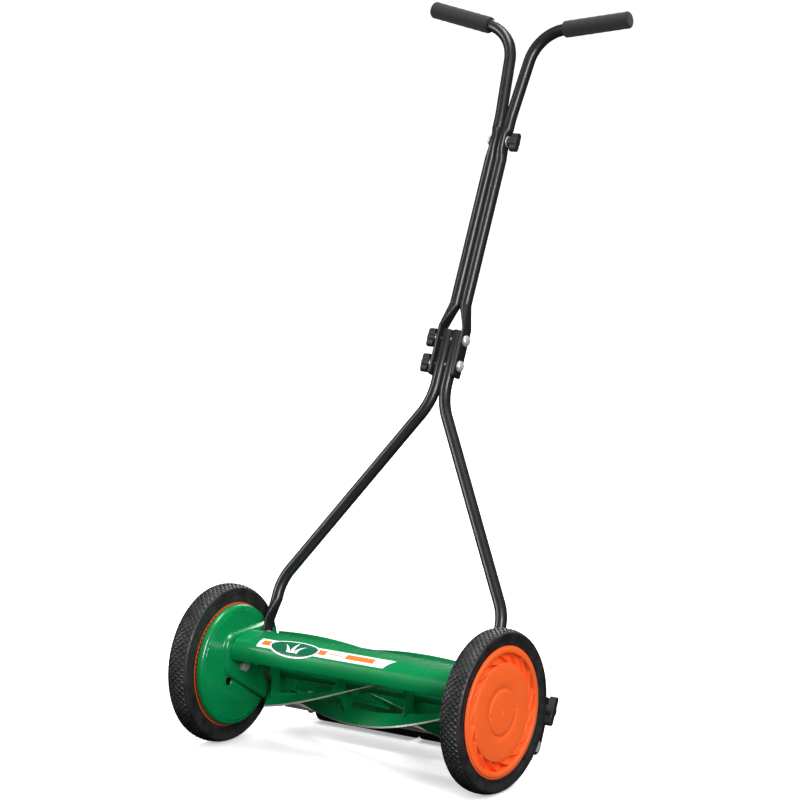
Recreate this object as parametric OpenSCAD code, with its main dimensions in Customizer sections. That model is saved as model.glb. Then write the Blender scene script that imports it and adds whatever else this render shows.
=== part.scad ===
// Push reel mower: two ground wheels drive a five-blade reel against a bed knife.
// X runs along the wheel axles, the mower's front faces -Y, +Z is up.
// The origin is on the ground, midway between the wheels and under their axis.

/* [Overall] */
// Width over both tyres
overall_w = 549; // [480:1:660]
// Lean of the handle behind upright, in degrees
handle_lean = 24.3; // [10:0.1:40]

/* [Wheels] */
// Tyre diameter
wheel_d = 254; // [220:1:310]
// Tyre width
tyre_w = 36.2; // [32:0.1:46]
// Depth of rubber from rim to tread
tyre_depth = 25; // [16:0.5:30]
// Radius of a tyre's rounded shoulder
shoulder_r = 9; // [4:0.5:14]
// Width of the wheel's outer flange ring
flange_w = 8.5; // [6:0.5:11]
// Radial width of the band of slanted vanes
vane_band = 15; // [10:0.5:20]
// Number of slanted vanes
vane_count = 17; // [8:1:24]
// Turn of each vane from its outer to its inner end, in degrees
vane_sweep = 17.5; // [0:0.5:30]
// Thickness of a vane
vane_t = 1.8; // [1:0.1:3]
// Radius of the hub cap
cap_r = 36; // [28:0.5:44]
// Radius of the axle's plain shoulder
axle_r = 6.35; // [5:0.05:9]

/* [Gears] */
// Gear module
gear_module = 2.5; // [2:0.25:3]
// Teeth on a pinion
pinion_teeth = 13; // [12:1:16]
// Pressure angle, in degrees
pressure_angle = 25; // [22:1:28]
// Play on each tooth flank
gear_play = 0.12; // [0.06:0.01:0.3]
// Width of the gear faces
gear_face = 13; // [8:0.5:15]
// Drop of the line from wheel axle to reel axle, in degrees
reel_drop = 16; // [0:0.5:30]

/* [Reel] */
// Diameter over the blade tips
reel_d = 130; // [105:1:150]
// Number of blades
blade_count = 5; // [4:1:6]
// Radial depth of a blade
blade_depth = 26; // [18:0.5:30]
// Blade thickness
blade_t = 2.2; // [1.5:0.1:3]
// Gap between each blade end and its side plate
blade_end_gap = 14; // [8:0.5:24]
// Twist of the blades, in degrees per millimetre
blade_twist = 0.322; // [0.1:0.001:0.45]
// Angle of the first blade at mid length, from straight down
blade_phase = 103.5; // [0:0.5:120]
// Radius over the corners of a spider
spider_r = 52; // [44:0.5:56]
// Spider thickness
spider_t = 2.5; // [1.5:0.1:4]
// Radius of the shaft in its bearings
shaft_r = 8; // [6:0.1:10]

/* [Frame] */
// Distance from a tyre's inner face to its side plate
plate_inset = 18.3; // [16:0.1:26]
// Thickness of the side plates
plate_t = 2.5; // [1.5:0.1:4]
// Thickness of the top cover
cover_t = 1.5; // [1:0.1:3]
// Radius of the cover's gently curved top
cover_top_r = 110; // [80:1:150]
// Radius of the cover's front nose
cover_nose_r = 26; // [16:0.5:34]
// Height of the bed knife's top over the reel's lowest point
knife_rise = 2.6; // [1:0.1:6]
// Gap between bed knife and blade tips
knife_gap = 0.3; // [0.1:0.05:0.6]
// Thickness of the bed knife
knife_t = 3; // [2:0.1:5]
// Height of the leaning plate on the cutter bar
tail_h = 34; // [10:1:45]

/* [Roller] */
// Roller diameter
roller_d = 44; // [32:1:56]
// Distance of the roller behind the reel axle
roller_back = 108.5; // [100:0.5:130]
// Gap between the two roller halves
roller_gap = 11; // [6:0.5:20]
// Radius of the roller axle
roller_axle_r = 5; // [4:0.1:7]
// Upward travel of the roller carrier
height_up = 20; // [10:1:28]
// Downward travel of the roller carrier
height_down = 6; // [2:1:10]

/* [Handle] */
// Outer diameter of the tubes
tube_d = 19; // [16:0.5:25]
// Wall of the tubes
tube_wall = 1.3; // [1:0.1:2.5]
// Length from the pivot up to the bend where the lower tubes meet
lower_rise = 414.7; // [340:1:500]
// Length from the pivot up to the ends of the lower tubes
lower_len = 532; // [480:1:640]
// Length from the pivot up to the upper bolt
upper_bolt_rise = 849; // [780:1:920]
// Length from the pivot up to the corner of the grips
grip_corner_rise = 1034; // [960:1:1110]
// Distance of a grip's outer end from the middle
grip_reach = 187; // [150:1:240]
// Rise of the grips above level, in degrees
grip_rise = 10.8; // [0:0.1:25]
// Grip diameter
grip_d = 27.5; // [24:0.5:34]
// Grip length
grip_len = 117.5; // [90:0.5:150]

/* [Hidden] */

left = -1;
right = 1;
run_fit = 0.06;        // radial clearance of a shaft that turns in its bore
side_gap = 0.3;        // gap between faces that move past each other
bolt_r = 4;
small_bolt_r = 3;
screw_head_t = 3;
nut_t = 6;
eps = 0.01;

// wheels
axle_z = wheel_d / 2;
wheel_out = overall_w / 2;
wheel_in = wheel_out - tyre_w;
rim_r = wheel_d / 2 - tyre_depth;
rim_wall = 5;
face_r = rim_r - 2.5;              // edge of the moulded outer face
band_out_r = face_r - flange_w;
band_in_r = band_out_r - vane_band;
face_out = wheel_out - 1.5;
vane_deep = 9;
boss_r = 18;

// gears
ring_teeth = floor(2 * (rim_r - rim_wall - 1.25 * gear_module) / gear_module);
ring_pitch_r = ring_teeth * gear_module / 2;
pinion_pitch_r = pinion_teeth * gear_module / 2;
gear_offset = ring_pitch_r - pinion_pitch_r;
gear_x = wheel_in + 2.5;

// reel
reel_y = gear_offset * cos(reel_drop);
reel_z = axle_z - gear_offset * sin(reel_drop);
reel_r = reel_d / 2;
blade_in_r = reel_r - blade_depth;
mid_shaft_r = shaft_r + 2;
plate_out = wheel_in - plate_inset;    // face of the side plate towards the wheel
plate_in = plate_out - plate_t;        // face of the side plate towards the reel
blade_end = plate_in - blade_end_gap;
spider_end = blade_end - 9;
bearing_r = 16;
bearing_w = 10;
shaft_end = gear_x + gear_face + 3;

// side plate
dish_r = rim_r - 5;
dish_x = plate_out + 3.5;
pan_r = 22;

// bed knife and cutter bar
knife_top = reel_z - reel_r + knife_rise;
knife_edge_y = reel_y + sqrt(pow(reel_r + knife_gap, 2) - pow(reel_z - knife_top, 2));
bar_w = 12;
bar_h = 15;
bar_y = knife_edge_y + 33;
bar_z = knife_top + bar_h / 2;

// cover: the top arc is tangent to the nose arc, and the nose to a rolled lip
cover_apex = [14, axle_z + 54];
cover_rear = -13.7;
nose_turn = asin(21 / (cover_top_r - cover_nose_r));
lip_turn = 105;
lip_r = 4;
top_c = cover_apex - [0, cover_top_r];
nose_c = top_c + (cover_top_r - cover_nose_r) * toward_front(nose_turn);
lip_c = nose_c + (cover_nose_r - lip_r) * toward_front(lip_turn);
flange_bolt = nose_c;

// roller and its carrier
roller_r = roller_d / 2;
roller_c = [reel_y + roller_back, roller_r];
carrier_dir = [sin(25.3), cos(25.3)];
height_bolt = roller_c + 58.6 * carrier_dir;
bracket_t = 2.5;
bracket_out = plate_in - 0.2;
bracket_in = bracket_out - bracket_t;

// handle frame: X across, Z up along the tubes, Y normal to the plane of the tubes
tube_r = tube_d / 2;
pivot = [56.2, axle_z + 38];
lower_x = wheel_in - 27.3;         // the tubes' straight feet
foot_t = 5;                        // thickness of a flattened foot
foot_x = plate_in - side_gap - foot_t / 2;
inner_x = tube_r + 0.1;            // the tubes side by side
flat_half_w = 12.5;
lap_x = 2 * inner_x + 3;           // the upper tubes' flattened ends
lap_t = 6;
lap_low = lower_len - 77;
lap_bolts = [lower_len - 58, lower_len - 16];
grip_dir = [cos(grip_rise), sin(grip_rise)];
grip_end = [grip_reach, grip_corner_rise + (grip_reach - 22.9) * tan(grip_rise)];
grip_start = grip_end - grip_len * grip_dir;

green = [0.0, 0.42, 0.24];
orange = [1.0, 0.36, 0.12];
black = [0.06, 0.06, 0.06];
steel = [0.75, 0.75, 0.76];

// ---- helpers ----

function toward_front(a) = [-sin(a), cos(a)];
function unit(v) = v / norm(v);
function turned_by(v, a) = [v[0] * cos(a) - v[1] * sin(a), v[0] * sin(a) + v[1] * cos(a)];
function backwards(v) = [for (i = [len(v) - 1 : -1 : 0]) v[i]];
function between(a, b, i, n) = a + (b - a) * i / n;

// Arc points of radius r about c, counted from +Y towards -X
function front_arc(c, r, from, to, n) = [for (i = [0 : n]) c + r * toward_front(between(from, to, i, n))];

// Angle of the outward normal of the belt's straight run from circle a to circle b
function run_angle(a, b) =
    let (d = [b[0] - a[0], b[1] - a[1]])
    atan2(d[1], d[0]) - acos((a[2] - b[2]) / norm(d));

// Outline of a belt round circles [x, y, r], listed anticlockwise, moved out by grow
function belt(circles, grow = 0, steps = 8) =
    let (n = len(circles))
    [for (i = [0 : n - 1])
        let (c = circles[i],
             from = run_angle(circles[(i + n - 1) % n], c),
             turn = (run_angle(c, circles[(i + 1) % n]) - from + 720) % 360)
        for (k = [0 : steps])
            let (a = from + turn * k / steps)
            [c[0] + (c[2] + grow) * cos(a), c[1] + (c[2] + grow) * sin(a)]];

// Points round the bend at b of a path a-b-c, with radius r
function fillet(a, b, c, r, n) =
    let (u = unit(a - b), v = unit(c - b),
         half = acos(u * v) / 2,
         reach = r / tan(half),
         centre = b + unit(u + v) * r / sin(half),
         p = b + u * reach - centre,
         q = b + v * reach - centre,
         way = sign(cross(p, q)))
    [for (i = [0 : n]) centre + turned_by(p, way * (180 - 2 * half) * i / n)];

module side(s) {
    mirror([s < 0 ? 1 : 0, 0, 0]) children();
}

// Extrudes a (Y, Z) outline along X
module slab(x0, x1) {
    translate([x0, 0, 0]) rotate([90, 0, 90]) linear_extrude(x1 - x0) children();
}

module rod(x0, x1, r, at, fn = 48) {
    translate([x0, at[0], at[1]]) rotate([0, 90, 0]) cylinder(h = x1 - x0, r = r, $fn = fn);
}

// Turns an (r, x) profile about an X axis through a (Y, Z) point
module turned(at, fn = 96) {
    translate([0, at[0], at[1]]) rotate([0, 90, 0]) rotate_extrude($fn = fn) children();
}

// Triangles between ring a and ring b, each of n points
function band(a, b, n) =
    [for (i = [0 : n - 1]) each [
        [a * n + i, b * n + i, b * n + (i + 1) % n],
        [a * n + i, b * n + (i + 1) % n, a * n + (i + 1) % n]]];

// A solid over rings of points, with flat ends
module skin(rings) {
    n = len(rings[0]);
    last = len(rings) - 1;
    polyhedron(
        points = [for (ring = rings) each ring],
        faces = concat(
            [[for (i = [0 : n - 1]) i]],
            [for (k = [0 : last - 1]) each band(k, k + 1, n)],
            [[for (i = [n - 1 : -1 : 0]) last * n + i]]),
        convexity = 6);
}

// A solid over rings of points whose last ring joins the first
module loop_skin(rings) {
    n = len(rings[0]);
    count = len(rings);
    polyhedron(
        points = [for (ring = rings) each ring],
        faces = [for (k = [0 : count - 1]) each band(k, (k + 1) % count, n)],
        convexity = 8);
}

// ---- gears ----

function involute(a) = tan(a) * 180 / PI - a;

// Half angle of a tooth at radius r
function tooth_half(z, r, play) =
    let (pitch = z * gear_module / 2,
         base = pitch * cos(pressure_angle),
         a = r > base ? acos(base / r) : 0)
    90 / z + (play / pitch) * 180 / PI + involute(pressure_angle) - involute(a);

function gear_outline(z, root, tip, play) =
    [for (i = [0 : z - 1])
        let (mid = i * 360 / z)
        for (flank = [-1, 1])
            for (k = [0 : 4])
                let (r = flank < 0 ? between(root, tip, k, 4) : between(tip, root, k, 4),
                     a = mid + flank * tooth_half(z, r, play))
                [r * cos(a), r * sin(a)]];

module ring_space() {
    polygon(gear_outline(ring_teeth, ring_pitch_r - 0.6 * gear_module,
        ring_pitch_r + 1.2 * gear_module, gear_play));
}

module pinion_shape() {
    polygon(gear_outline(pinion_teeth, pinion_pitch_r - gear_module,
        pinion_pitch_r + 0.95 * gear_module, -gear_play));
}

// ---- side plates ----

// The raised pan round the cover's end, the reel bearing and the cutter bar
pan = [[-18, axle_z + 31, pan_r], [-18, axle_z + 9, pan_r],
       [bar_y + 8, bar_z + 8, 20], [pivot[0] + 6, pivot[1] - 12, 27]];
arm = [[reel_y + 55, reel_z - 36, 20], [height_bolt[0], height_bolt[1], 9]];

// Section of the dish from its middle to the lip, t inside its reel side
function dish_line(t) = concat(
    [[0, dish_x + t], [46, dish_x + t]],
    [for (i = [0 : 8]) [dish_r - 7 + (7 - t) * sin(between(4, 90, i, 8)),
                        dish_x + 10.5 - (7 - t) * cos(between(4, 90, i, 8))]],
    [[dish_r - t, wheel_in - 0.5]]);

module dish() {
    difference() {
        turned([0, axle_z], 128) polygon(concat(dish_line(0), backwards(dish_line(plate_t))));
        slab(plate_out - 5, wheel_in + 5) polygon(belt(pan, -plate_t));
        rod(plate_out, wheel_in, 4.5, [-31, axle_z - 19.3]);
    }
}

module pan_shell() {
    slab(plate_in, plate_out) polygon(belt(pan));
    slab(plate_in, dish_x + 4) difference() {
        polygon(belt(pan));
        polygon(belt(pan, -plate_t));
    }
    slab(plate_in, plate_out) polygon(belt(arm));
}

module plate_holes() {
    x0 = plate_in - 1;
    x1 = plate_out + 1;
    rod(x0, x1, axle_r - 1.35, [0, axle_z]);
    rod(x0, x1, bearing_r, [reel_y, reel_z], 96);
    rod(x0, x1, bolt_r, pivot);
    rod(x0, x1, small_bolt_r, flange_bolt);
    rod(x0, x1, bolt_r, [bar_y, bar_z]);
    rod(x0, x1, bolt_r, height_bolt);
}

module side_plate(s) {
    color(green) side(s) difference() {
        union() {
            dish();
            pan_shell();
        }
        plate_holes();
    }
}

// ---- top cover ----

// Outer line of the cover, moved in by t, from its rear edge over the nose
function cover_face(t) = concat(
    front_arc(top_c, cover_top_r - t, cover_rear, nose_turn, 6),
    front_arc(nose_c, cover_nose_r - t, nose_turn + 7, lip_turn, 12));

// The same line with the rolled lip
function cover_line(t) = concat(cover_face(t), front_arc(lip_c, lip_r - t, lip_turn + 20, 215, 6));

module top_cover() {
    color(green) {
        slab(-plate_in, plate_in) polygon(concat(cover_line(0), backwards(cover_line(cover_t))));
        for (s = [left, right]) side(s) slab(plate_in - cover_t, plate_in) difference() {
            polygon(concat(cover_face(0), [nose_c + [8, -9]]));
            translate(flange_bolt) circle(r = small_bolt_r, $fn = 32);
        }
    }
}

// The sticker on the front of the cover, without any marking
decal_t = 0.3;
decal_ends = [-173, 75];

// The stretch of the cover's own outline that it lies on, moved out by t
function decal_line(t) = let (line = cover_face(-t)) [for (i = [5 : 10]) line[i]];

module cover_decal() {
    color("white") slab(decal_ends[0], decal_ends[1])
        polygon(concat(decal_line(decal_t), backwards(decal_line(0))));
}

// Hexagon head or nut along X
module hex_x(x0, x1, at, flats) {
    translate([x0, at[0], at[1]]) rotate([0, 90, 0])
        cylinder(h = x1 - x0, r = flats / sqrt(3), $fn = 6);
}

module bolt_x(at, r, inner, outer, flats, head_t) {
    rod(inner, outer, r, at);
    hex_x(inner - head_t, inner, at, flats);
}

module cover_bolts() {
    color(steel) for (s = [left, right]) side(s) {
        bolt_x(flange_bolt, small_bolt_r, plate_in - cover_t, plate_out + 7, 10, 4);
        difference() {
            hex_x(plate_out, plate_out + 5, flange_bolt, 10);
            rod(plate_out - 1, plate_out + 6, small_bolt_r, flange_bolt);
        }
    }
}

// ---- cutter bar and bed knife ----

knife_screws = [for (i = [-2 : 2]) i * blade_end * 0.42];
adjuster_x = blade_end - 24;
adjuster_y = bar_y + 1.5;

// Section of the sheet that leans back from the bar, between its foot and its top
tail_foot = [bar_y + bar_w / 2 - 1, bar_z + bar_h / 2 - 3];
tail_top = tail_foot + [0.4 * tail_h, tail_h + 3];
tail_t = 2;

module cutter_bar() {
    color(green) difference() {
        union() {
            slab(-plate_in, plate_in) translate([bar_y, bar_z]) square([bar_w, bar_h], center = true);
            slab(-blade_end - 6, blade_end + 6)
                polygon([tail_foot, tail_foot + [tail_t, 0], tail_top + [tail_t, 0], tail_top]);
        }
        for (s = [left, right]) side(s) rod(plate_in - 25, plate_in + 1, bolt_r, [bar_y, bar_z]);
        for (x = knife_screws) translate([x, bar_y, knife_top - 1]) cylinder(h = 11, r = small_bolt_r, $fn = 32);
        for (s = [left, right]) translate([s * adjuster_x, adjuster_y, knife_top - 1])
            cylinder(h = bar_h + 2, r = small_bolt_r, $fn = 32);
    }
}

module cutter_bar_bolts() {
    color(steel) for (s = [left, right]) side(s) {
        rod(plate_in - 25, plate_out + 0.01, bolt_r, [bar_y, bar_z]);
        hex_x(plate_out, plate_out + 5, [bar_y, bar_z], 13);
    }
}

module bed_knife() {
    color(steel) difference() {
        slab(-blade_end - 3, blade_end + 3) polygon([
            [knife_edge_y, knife_top], [bar_y + bar_w / 2, knife_top],
            [bar_y + bar_w / 2, knife_top - knife_t], [knife_edge_y + 1.5, knife_top - knife_t]]);
        for (x = knife_screws) translate([x, bar_y, knife_top - knife_t - 1])
            cylinder(h = knife_t + 2, r = small_bolt_r, $fn = 32);
    }
}

module bed_knife_screws() {
    color(steel) for (x = knife_screws) translate([x, bar_y, knife_top - knife_t]) {
        cylinder(h = 11, r = small_bolt_r, $fn = 32);
        translate([0, 0, -screw_head_t]) cylinder(h = screw_head_t, r = 5, $fn = 32);
    }
}

module adjusting_screws() {
    color(steel) for (s = [left, right]) translate([s * adjuster_x, adjuster_y, knife_top]) {
        cylinder(h = bar_h, r = small_bolt_r, $fn = 32);
        translate([0, 0, bar_h]) cylinder(h = 3, r = 9 / sqrt(3), $fn = 6);
    }
}

// ---- wheels ----

axle_at = [0, axle_z];
shoulder_end = wheel_out - 10.5;

module wheel_axle(s) {
    color(steel) side(s) {
        rod(plate_in - nut_t - 3, plate_out, axle_r - 1.35, axle_at);
        rod(plate_out, plate_out + 3.5, 11, axle_at);
        rod(plate_out + 3.5, shoulder_end, axle_r, axle_at);
        difference() {
            rod(shoulder_end, shoulder_end + 5, 11, axle_at);
            hex_x(shoulder_end + 2, shoulder_end + 6, axle_at, 8);
        }
    }
}

module axle_nuts() {
    color(steel) for (s = [left, right]) side(s) difference() {
        hex_x(plate_in - nut_t, plate_in, axle_at, 16);
        rod(plate_in - nut_t - 1, plate_in + 1, axle_r - 1.35, axle_at);
    }
}

module tyre(s) {
    crown = wheel_d / 2 - shoulder_r;
    toe = rim_r + 3;
    color(black) side(s) turned(axle_at, 160) polygon(belt([
        [toe, wheel_in + 5, 3], [crown, wheel_in + shoulder_r, shoulder_r],
        [crown, wheel_out - shoulder_r, shoulder_r], [toe, wheel_out - 5, 3]], 0, 6));
}

// One ring of an (r, x) section
module step(r0, r1, x0, x1) {
    translate([r0, x0]) square([r1 - r0, x1 - x0]);
}

module wheel_section() {
    step(axle_r + run_fit, boss_r, plate_out + 4, shoulder_end - side_gap);
    step(13, boss_r, shoulder_end - 1, face_out - 4.5);
    step(boss_r - 1, cap_r + 2, face_out - 7, face_out - 4.5);
    step(cap_r + 0.3, band_in_r, face_out - 5, face_out - 2);
    step(band_in_r - 2.5, band_in_r, face_out - vane_deep - 4, face_out - 2);
    step(band_in_r - 1, rim_r - 1, face_out - vane_deep - 4, face_out - vane_deep - 1);
    step(band_out_r, band_out_r + 2.5, face_out - vane_deep - 2, face_out);
    step(band_out_r, face_r, face_out - 3, face_out);
    step(face_r - 2, rim_r, wheel_in + 1.5, face_out - 1.5);
}

// The gear cut inside the rim
module ring_gear() {
    difference() {
        turned(axle_at, 128) step(ring_pitch_r - 0.8 * gear_module, rim_r - 1, gear_x, gear_x + gear_face + 1);
        slab(gear_x - 1, gear_x + gear_face + 0.5) translate(axle_at) rotate(gear_phase) ring_space();
    }
}

// A slanted vane in the (Y, Z) plane about the axle
module vane() {
    outer = band_out_r + 0.8;
    inner = band_in_r - 0.8;
    half = vane_t / 2;
    polygon([for (p = [[outer, -half, 0], [outer, half, 0], [inner, half, vane_sweep],
                       [inner, -half, vane_sweep]])
        turned_by([p[1], p[0]], -p[2])]);
}

module wheel(s) {
    color(orange) side(s) {
        turned(axle_at, 128) wheel_section();
        ring_gear();
        for (i = [0 : vane_count - 1])
            slab(face_out - vane_deep - 1.5, face_out - 1.5) translate(axle_at)
                rotate(i * 360 / vane_count) vane();
    }
}

module hub_cap(s) {
    color(orange) side(s) difference() {
        union() {
            turned(axle_at, 96) polygon([[0, face_out - 4.5], [cap_r, face_out - 4.5],
                [cap_r, face_out - 1.6], [cap_r - 1, face_out - 0.9], [0, face_out]]);
        }
        for (y = [-1, 1]) rod(face_out - 3, face_out + 1, 1.6, axle_at + [y * (cap_r - 3.5), 0]);
        rod(face_out - 6, face_out - 2.5, 12.5, axle_at);
    }
}

// ---- reel ----

reel_at = [reel_y, reel_z];

// A tooth of the ring points along the line of centres, a space of the pinion does too
gear_phase = -reel_drop + 180 / ring_teeth;
pinion_phase = -reel_drop + 180 / pinion_teeth;

module pawl_slot(s) {
    translate([s * (gear_x + gear_face / 2), reel_y, reel_z]) cube([6, 5, 3 * shaft_r], center = true);
}

module reel_shaft() {
    color(green) difference() {
        union() {
            rod(-shaft_end, shaft_end, shaft_r, reel_at);
            rod(-spider_end - 8, spider_end + 8, mid_shaft_r, reel_at);
        }
        for (s = [left, right]) pawl_slot(s);
    }
}

function blade_angle(i, x) = blade_phase + i * 360 / blade_count + blade_twist * x;
function radial(a) = [-sin(a), -cos(a)];
function around(a) = [-cos(a), sin(a)];

module spider(k) {
    x = -spider_end + k * spider_end * 2 / 3;
    corners = [for (i = [0 : blade_count - 1]) let (a = blade_angle(i, x), h = 180 / blade_count)
        each [spider_r * radial(a), (spider_r * cos(h) - 12) * radial(a + h)]];
    color(green) difference() {
        slab(x - spider_t / 2, x + spider_t / 2) translate(reel_at) polygon(corners);
        rod(x - spider_t, x + spider_t, mid_shaft_r, reel_at);
        for (i = [0 : blade_count - 1]) slab(x - spider_t, x + spider_t) translate(reel_at)
            rotate(90 - blade_angle(i, x)) mirror([1, 0]) translate([blade_in_r - 0.1, -blade_t / 2 - 0.4])
                square([spider_r, blade_t + 0.8]);
    }
}

// Points across a blade at x, with a ground bevel at its tip
function blade_ring(i, x) =
    let (a = blade_angle(i, x), half = blade_t / 2)
    [for (p = [[blade_in_r, -half], [reel_r - 0.02, -half], [reel_r - 0.02, -half + 0.8],
               [reel_r - 2.5, half], [blade_in_r, half]])
        let (q = reel_at + p[0] * radial(a) + p[1] * around(a)) [x, q[0], q[1]]];

module reel_blade(i) {
    steps = 44;
    color(green) skin([for (k = [0 : steps]) blade_ring(i, between(-blade_end, blade_end, k, steps))]);
}

module pinion(s) {
    x0 = gear_x;
    x1 = gear_x + gear_face;
    color(steel) side(s) difference() {
        union() {
            slab(x0, x1) translate(reel_at) rotate(pinion_phase) pinion_shape();
            rod(plate_out + bearing_w / 2 + 0.6, x0 + 1, 11.5, reel_at);
        }
        rod(plate_out, x1 + 1, shaft_r + run_fit, reel_at);
        rod(x0 + 3, x1 - 3, shaft_r + 1, reel_at);
        for (i = [0 : 3]) translate([(x0 + x1) / 2, reel_y, reel_z]) rotate([i * 90, 0, 0])
            translate([0, 0, shaft_r]) cube([gear_face - 6, 5.4, 5], center = true);
    }
}

// The one-way catch: on the left it is thrown out into a pocket, on the right it rides free
module pawl(s, throw) {
    color(steel) translate([s * (gear_x + gear_face / 2), reel_y, reel_z + throw])
        cube([5.8, 4.8, 2 * shaft_r + 0.6], center = true);
}

module shaft_clips() {
    x0 = gear_x + gear_face + 0.4;
    color(steel) for (s = [left, right]) side(s) difference() {
        rod(x0, x0 + 1.2, 12, reel_at);
        rod(x0 - 1, x0 + 2, shaft_r, reel_at);
    }
}

module reel_bearing(s) {
    color(steel) side(s) difference() {
        union() {
            rod(plate_out - bearing_w / 2, plate_out + bearing_w / 2, bearing_r, reel_at, 96);
            rod(plate_in - 1.5, plate_in, bearing_r + 3, reel_at, 96);
        }
        rod(plate_in - bearing_w, plate_out + bearing_w, shaft_r + run_fit, reel_at, 64);
    }
}

// ---- roller and height adjustment ----

module roller_bracket(s) {
    top = height_bolt + (height_down + 5) * carrier_dir;
    low = height_bolt - height_up * carrier_dir;
    high = height_bolt + height_down * carrier_dir;
    color(black) side(s) slab(bracket_in, bracket_out) difference() {
        polygon(belt([[roller_c[0], roller_c[1], 14], [top[0], top[1], 10]]));
        polygon(belt([[low[0], low[1], bolt_r + side_gap], [high[0], high[1], bolt_r + side_gap]]));
        translate(roller_c) circle(r = roller_axle_r, $fn = 64);
    }
}

module roller_axle() {
    color(steel) {
        rod(-bracket_out, bracket_out, roller_axle_r, roller_c);
        for (s = [left, right]) side(s) rod(bracket_out, plate_out, 9, roller_c);
    }
}

roller_len = blade_end - 8;

module roller_spacers() {
    color(black) for (s = [left, right]) side(s) difference() {
        rod(roller_len + side_gap, bracket_in, 9, roller_c);
        rod(roller_len - 1, bracket_in + 1, roller_axle_r, roller_c);
    }
}

module roller(s) {
    color(black) side(s) turned(roller_c, 96) polygon([
        [roller_axle_r + run_fit, roller_gap / 2], [roller_r - 2, roller_gap / 2],
        [roller_r, roller_gap / 2 + 2], [roller_r, roller_len - 2], [roller_r - 2, roller_len],
        [roller_axle_r + run_fit, roller_len]]);
}

module height_bolts() {
    color(steel) for (s = [left, right]) side(s) {
        rod(bracket_in - side_gap, plate_out + 12, bolt_r, height_bolt);
        rod(bracket_in - side_gap - 4, bracket_in - side_gap, 9, height_bolt);
    }
}

// A moulded wing knob: a long bar across a round hub
module height_knob(s) {
    x0 = plate_out + side_gap;
    ends = [for (way = [-18, 18]) height_bolt + way * carrier_dir];
    color(black) side(s) difference() {
        union() {
            rod(x0, x0 + 13, 9.5, height_bolt);
            slab(x0 + 2, x0 + 14) polygon(belt([for (p = ends) [p[0], p[1], 5.5]]));
        }
        rod(x0 - 1, plate_out + 12.5, bolt_r + run_fit, height_bolt);
    }
}

// ---- handle ----

module in_handle() {
    translate([0, pivot[0], pivot[1]]) rotate([-handle_lean, 0, 0]) children();
}

function signed_pow(v, e) = sign(v) * pow(abs(v), e);

// A station of a tube: [x, rise, half across, half deep, corner power]
function round_at(p) = [p[0], p[1], tube_r, tube_r, 1];
function blend_at(a, b, n) = [for (i = [0 : n]) let (t = (1 - cos(180 * i / n)) / 2) a + (b - a) * t];

// One ring round a station, for a tube that runs along dir in the plane of the handle
function tube_ring(st, dir, wall, sides = 20) =
    [for (i = [0 : sides - 1])
        let (a = i * 360 / sides,
             u = (st[2] - wall) * signed_pow(cos(a), st[4]),
             v = (st[3] - wall) * signed_pow(sin(a), st[4]))
        [st[0] + u * dir[1], -v, st[1] - u * dir[0]]];

function tube_rings(stations, wall) =
    let (last = len(stations) - 1)
    [for (i = [0 : last])
        let (a = stations[max(i - 1, 0)], b = stations[min(i + 1, last)])
        tube_ring(stations[i], unit([b[0] - a[0], b[1] - a[1]]), wall)];

// Up the outside of the tube and back down its inside
module tube(stations) {
    loop_skin(concat(tube_rings(stations, 0), backwards(tube_rings(stations, tube_wall))));
}

foot_flat = [foot_t / 2, flat_half_w, 0.55];
lap_flat = [lap_t / 2, flat_half_w, 0.55];
pinch_flat = [7.6, 11.5, 0.8];
top_corner = [22.9, grip_corner_rise];
fork_angle = 5.2;
fork_corner = [inner_x, grip_corner_rise - (22.9 - inner_x) / tan(fork_angle)];

lower_stations = concat(
    [concat([foot_x, -13], foot_flat), concat([foot_x, -5], foot_flat)],
    blend_at(concat([foot_x, 30], foot_flat), round_at([lower_x, 62]), 5),
    [for (p = fillet([lower_x, 0], [lower_x, 92.1], [inner_x, lower_rise], 80, 6)) round_at(p)],
    [for (p = fillet([lower_x, 92.1], [inner_x, lower_rise], [inner_x, lower_len], 100, 6)) round_at(p)],
    [round_at([inner_x, lower_len - 5]), round_at([inner_x, lower_len])]);

upper_stations = concat(
    [concat([lap_x, lap_low], lap_flat), concat([lap_x, lap_low + 8], lap_flat)],
    blend_at(concat([lap_x, lower_len + 4], lap_flat), round_at([inner_x, lower_len + 42]), 6),
    blend_at(round_at([inner_x, upper_bolt_rise - 30]),
        concat([7.8, upper_bolt_rise - 14], pinch_flat), 3),
    blend_at(concat([7.8, upper_bolt_rise + 12], pinch_flat),
        round_at([inner_x, upper_bolt_rise + 21]), 3),
    [for (p = fillet([inner_x, upper_bolt_rise], fork_corner, top_corner, 260, 3)) round_at(p)],
    [for (p = fillet(fork_corner, top_corner, grip_end, 65, 10)) round_at(p)],
    [round_at(grip_end - 9 * grip_dir), round_at(grip_end - 4 * grip_dir)]);

module hole_across(rise, half) {
    translate([-half, 0, rise]) rotate([0, 90, 0]) cylinder(h = 2 * half, r = bolt_r, $fn = 48);
}

module lower_tube(s) {
    color(black) in_handle() side(s) difference() {
        tube(lower_stations);
        translate([foot_x - 6, 0, 0]) rotate([0, 90, 0]) cylinder(h = 12, r = bolt_r + run_fit, $fn = 64);
        for (rise = lap_bolts) hole_across(rise, 3 * tube_r);
    }
}

module upper_tube(s) {
    color(black) in_handle() side(s) difference() {
        tube(upper_stations);
        for (rise = concat(lap_bolts, [upper_bolt_rise])) hole_across(rise, 3 * tube_r + 2);
    }
}

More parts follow.
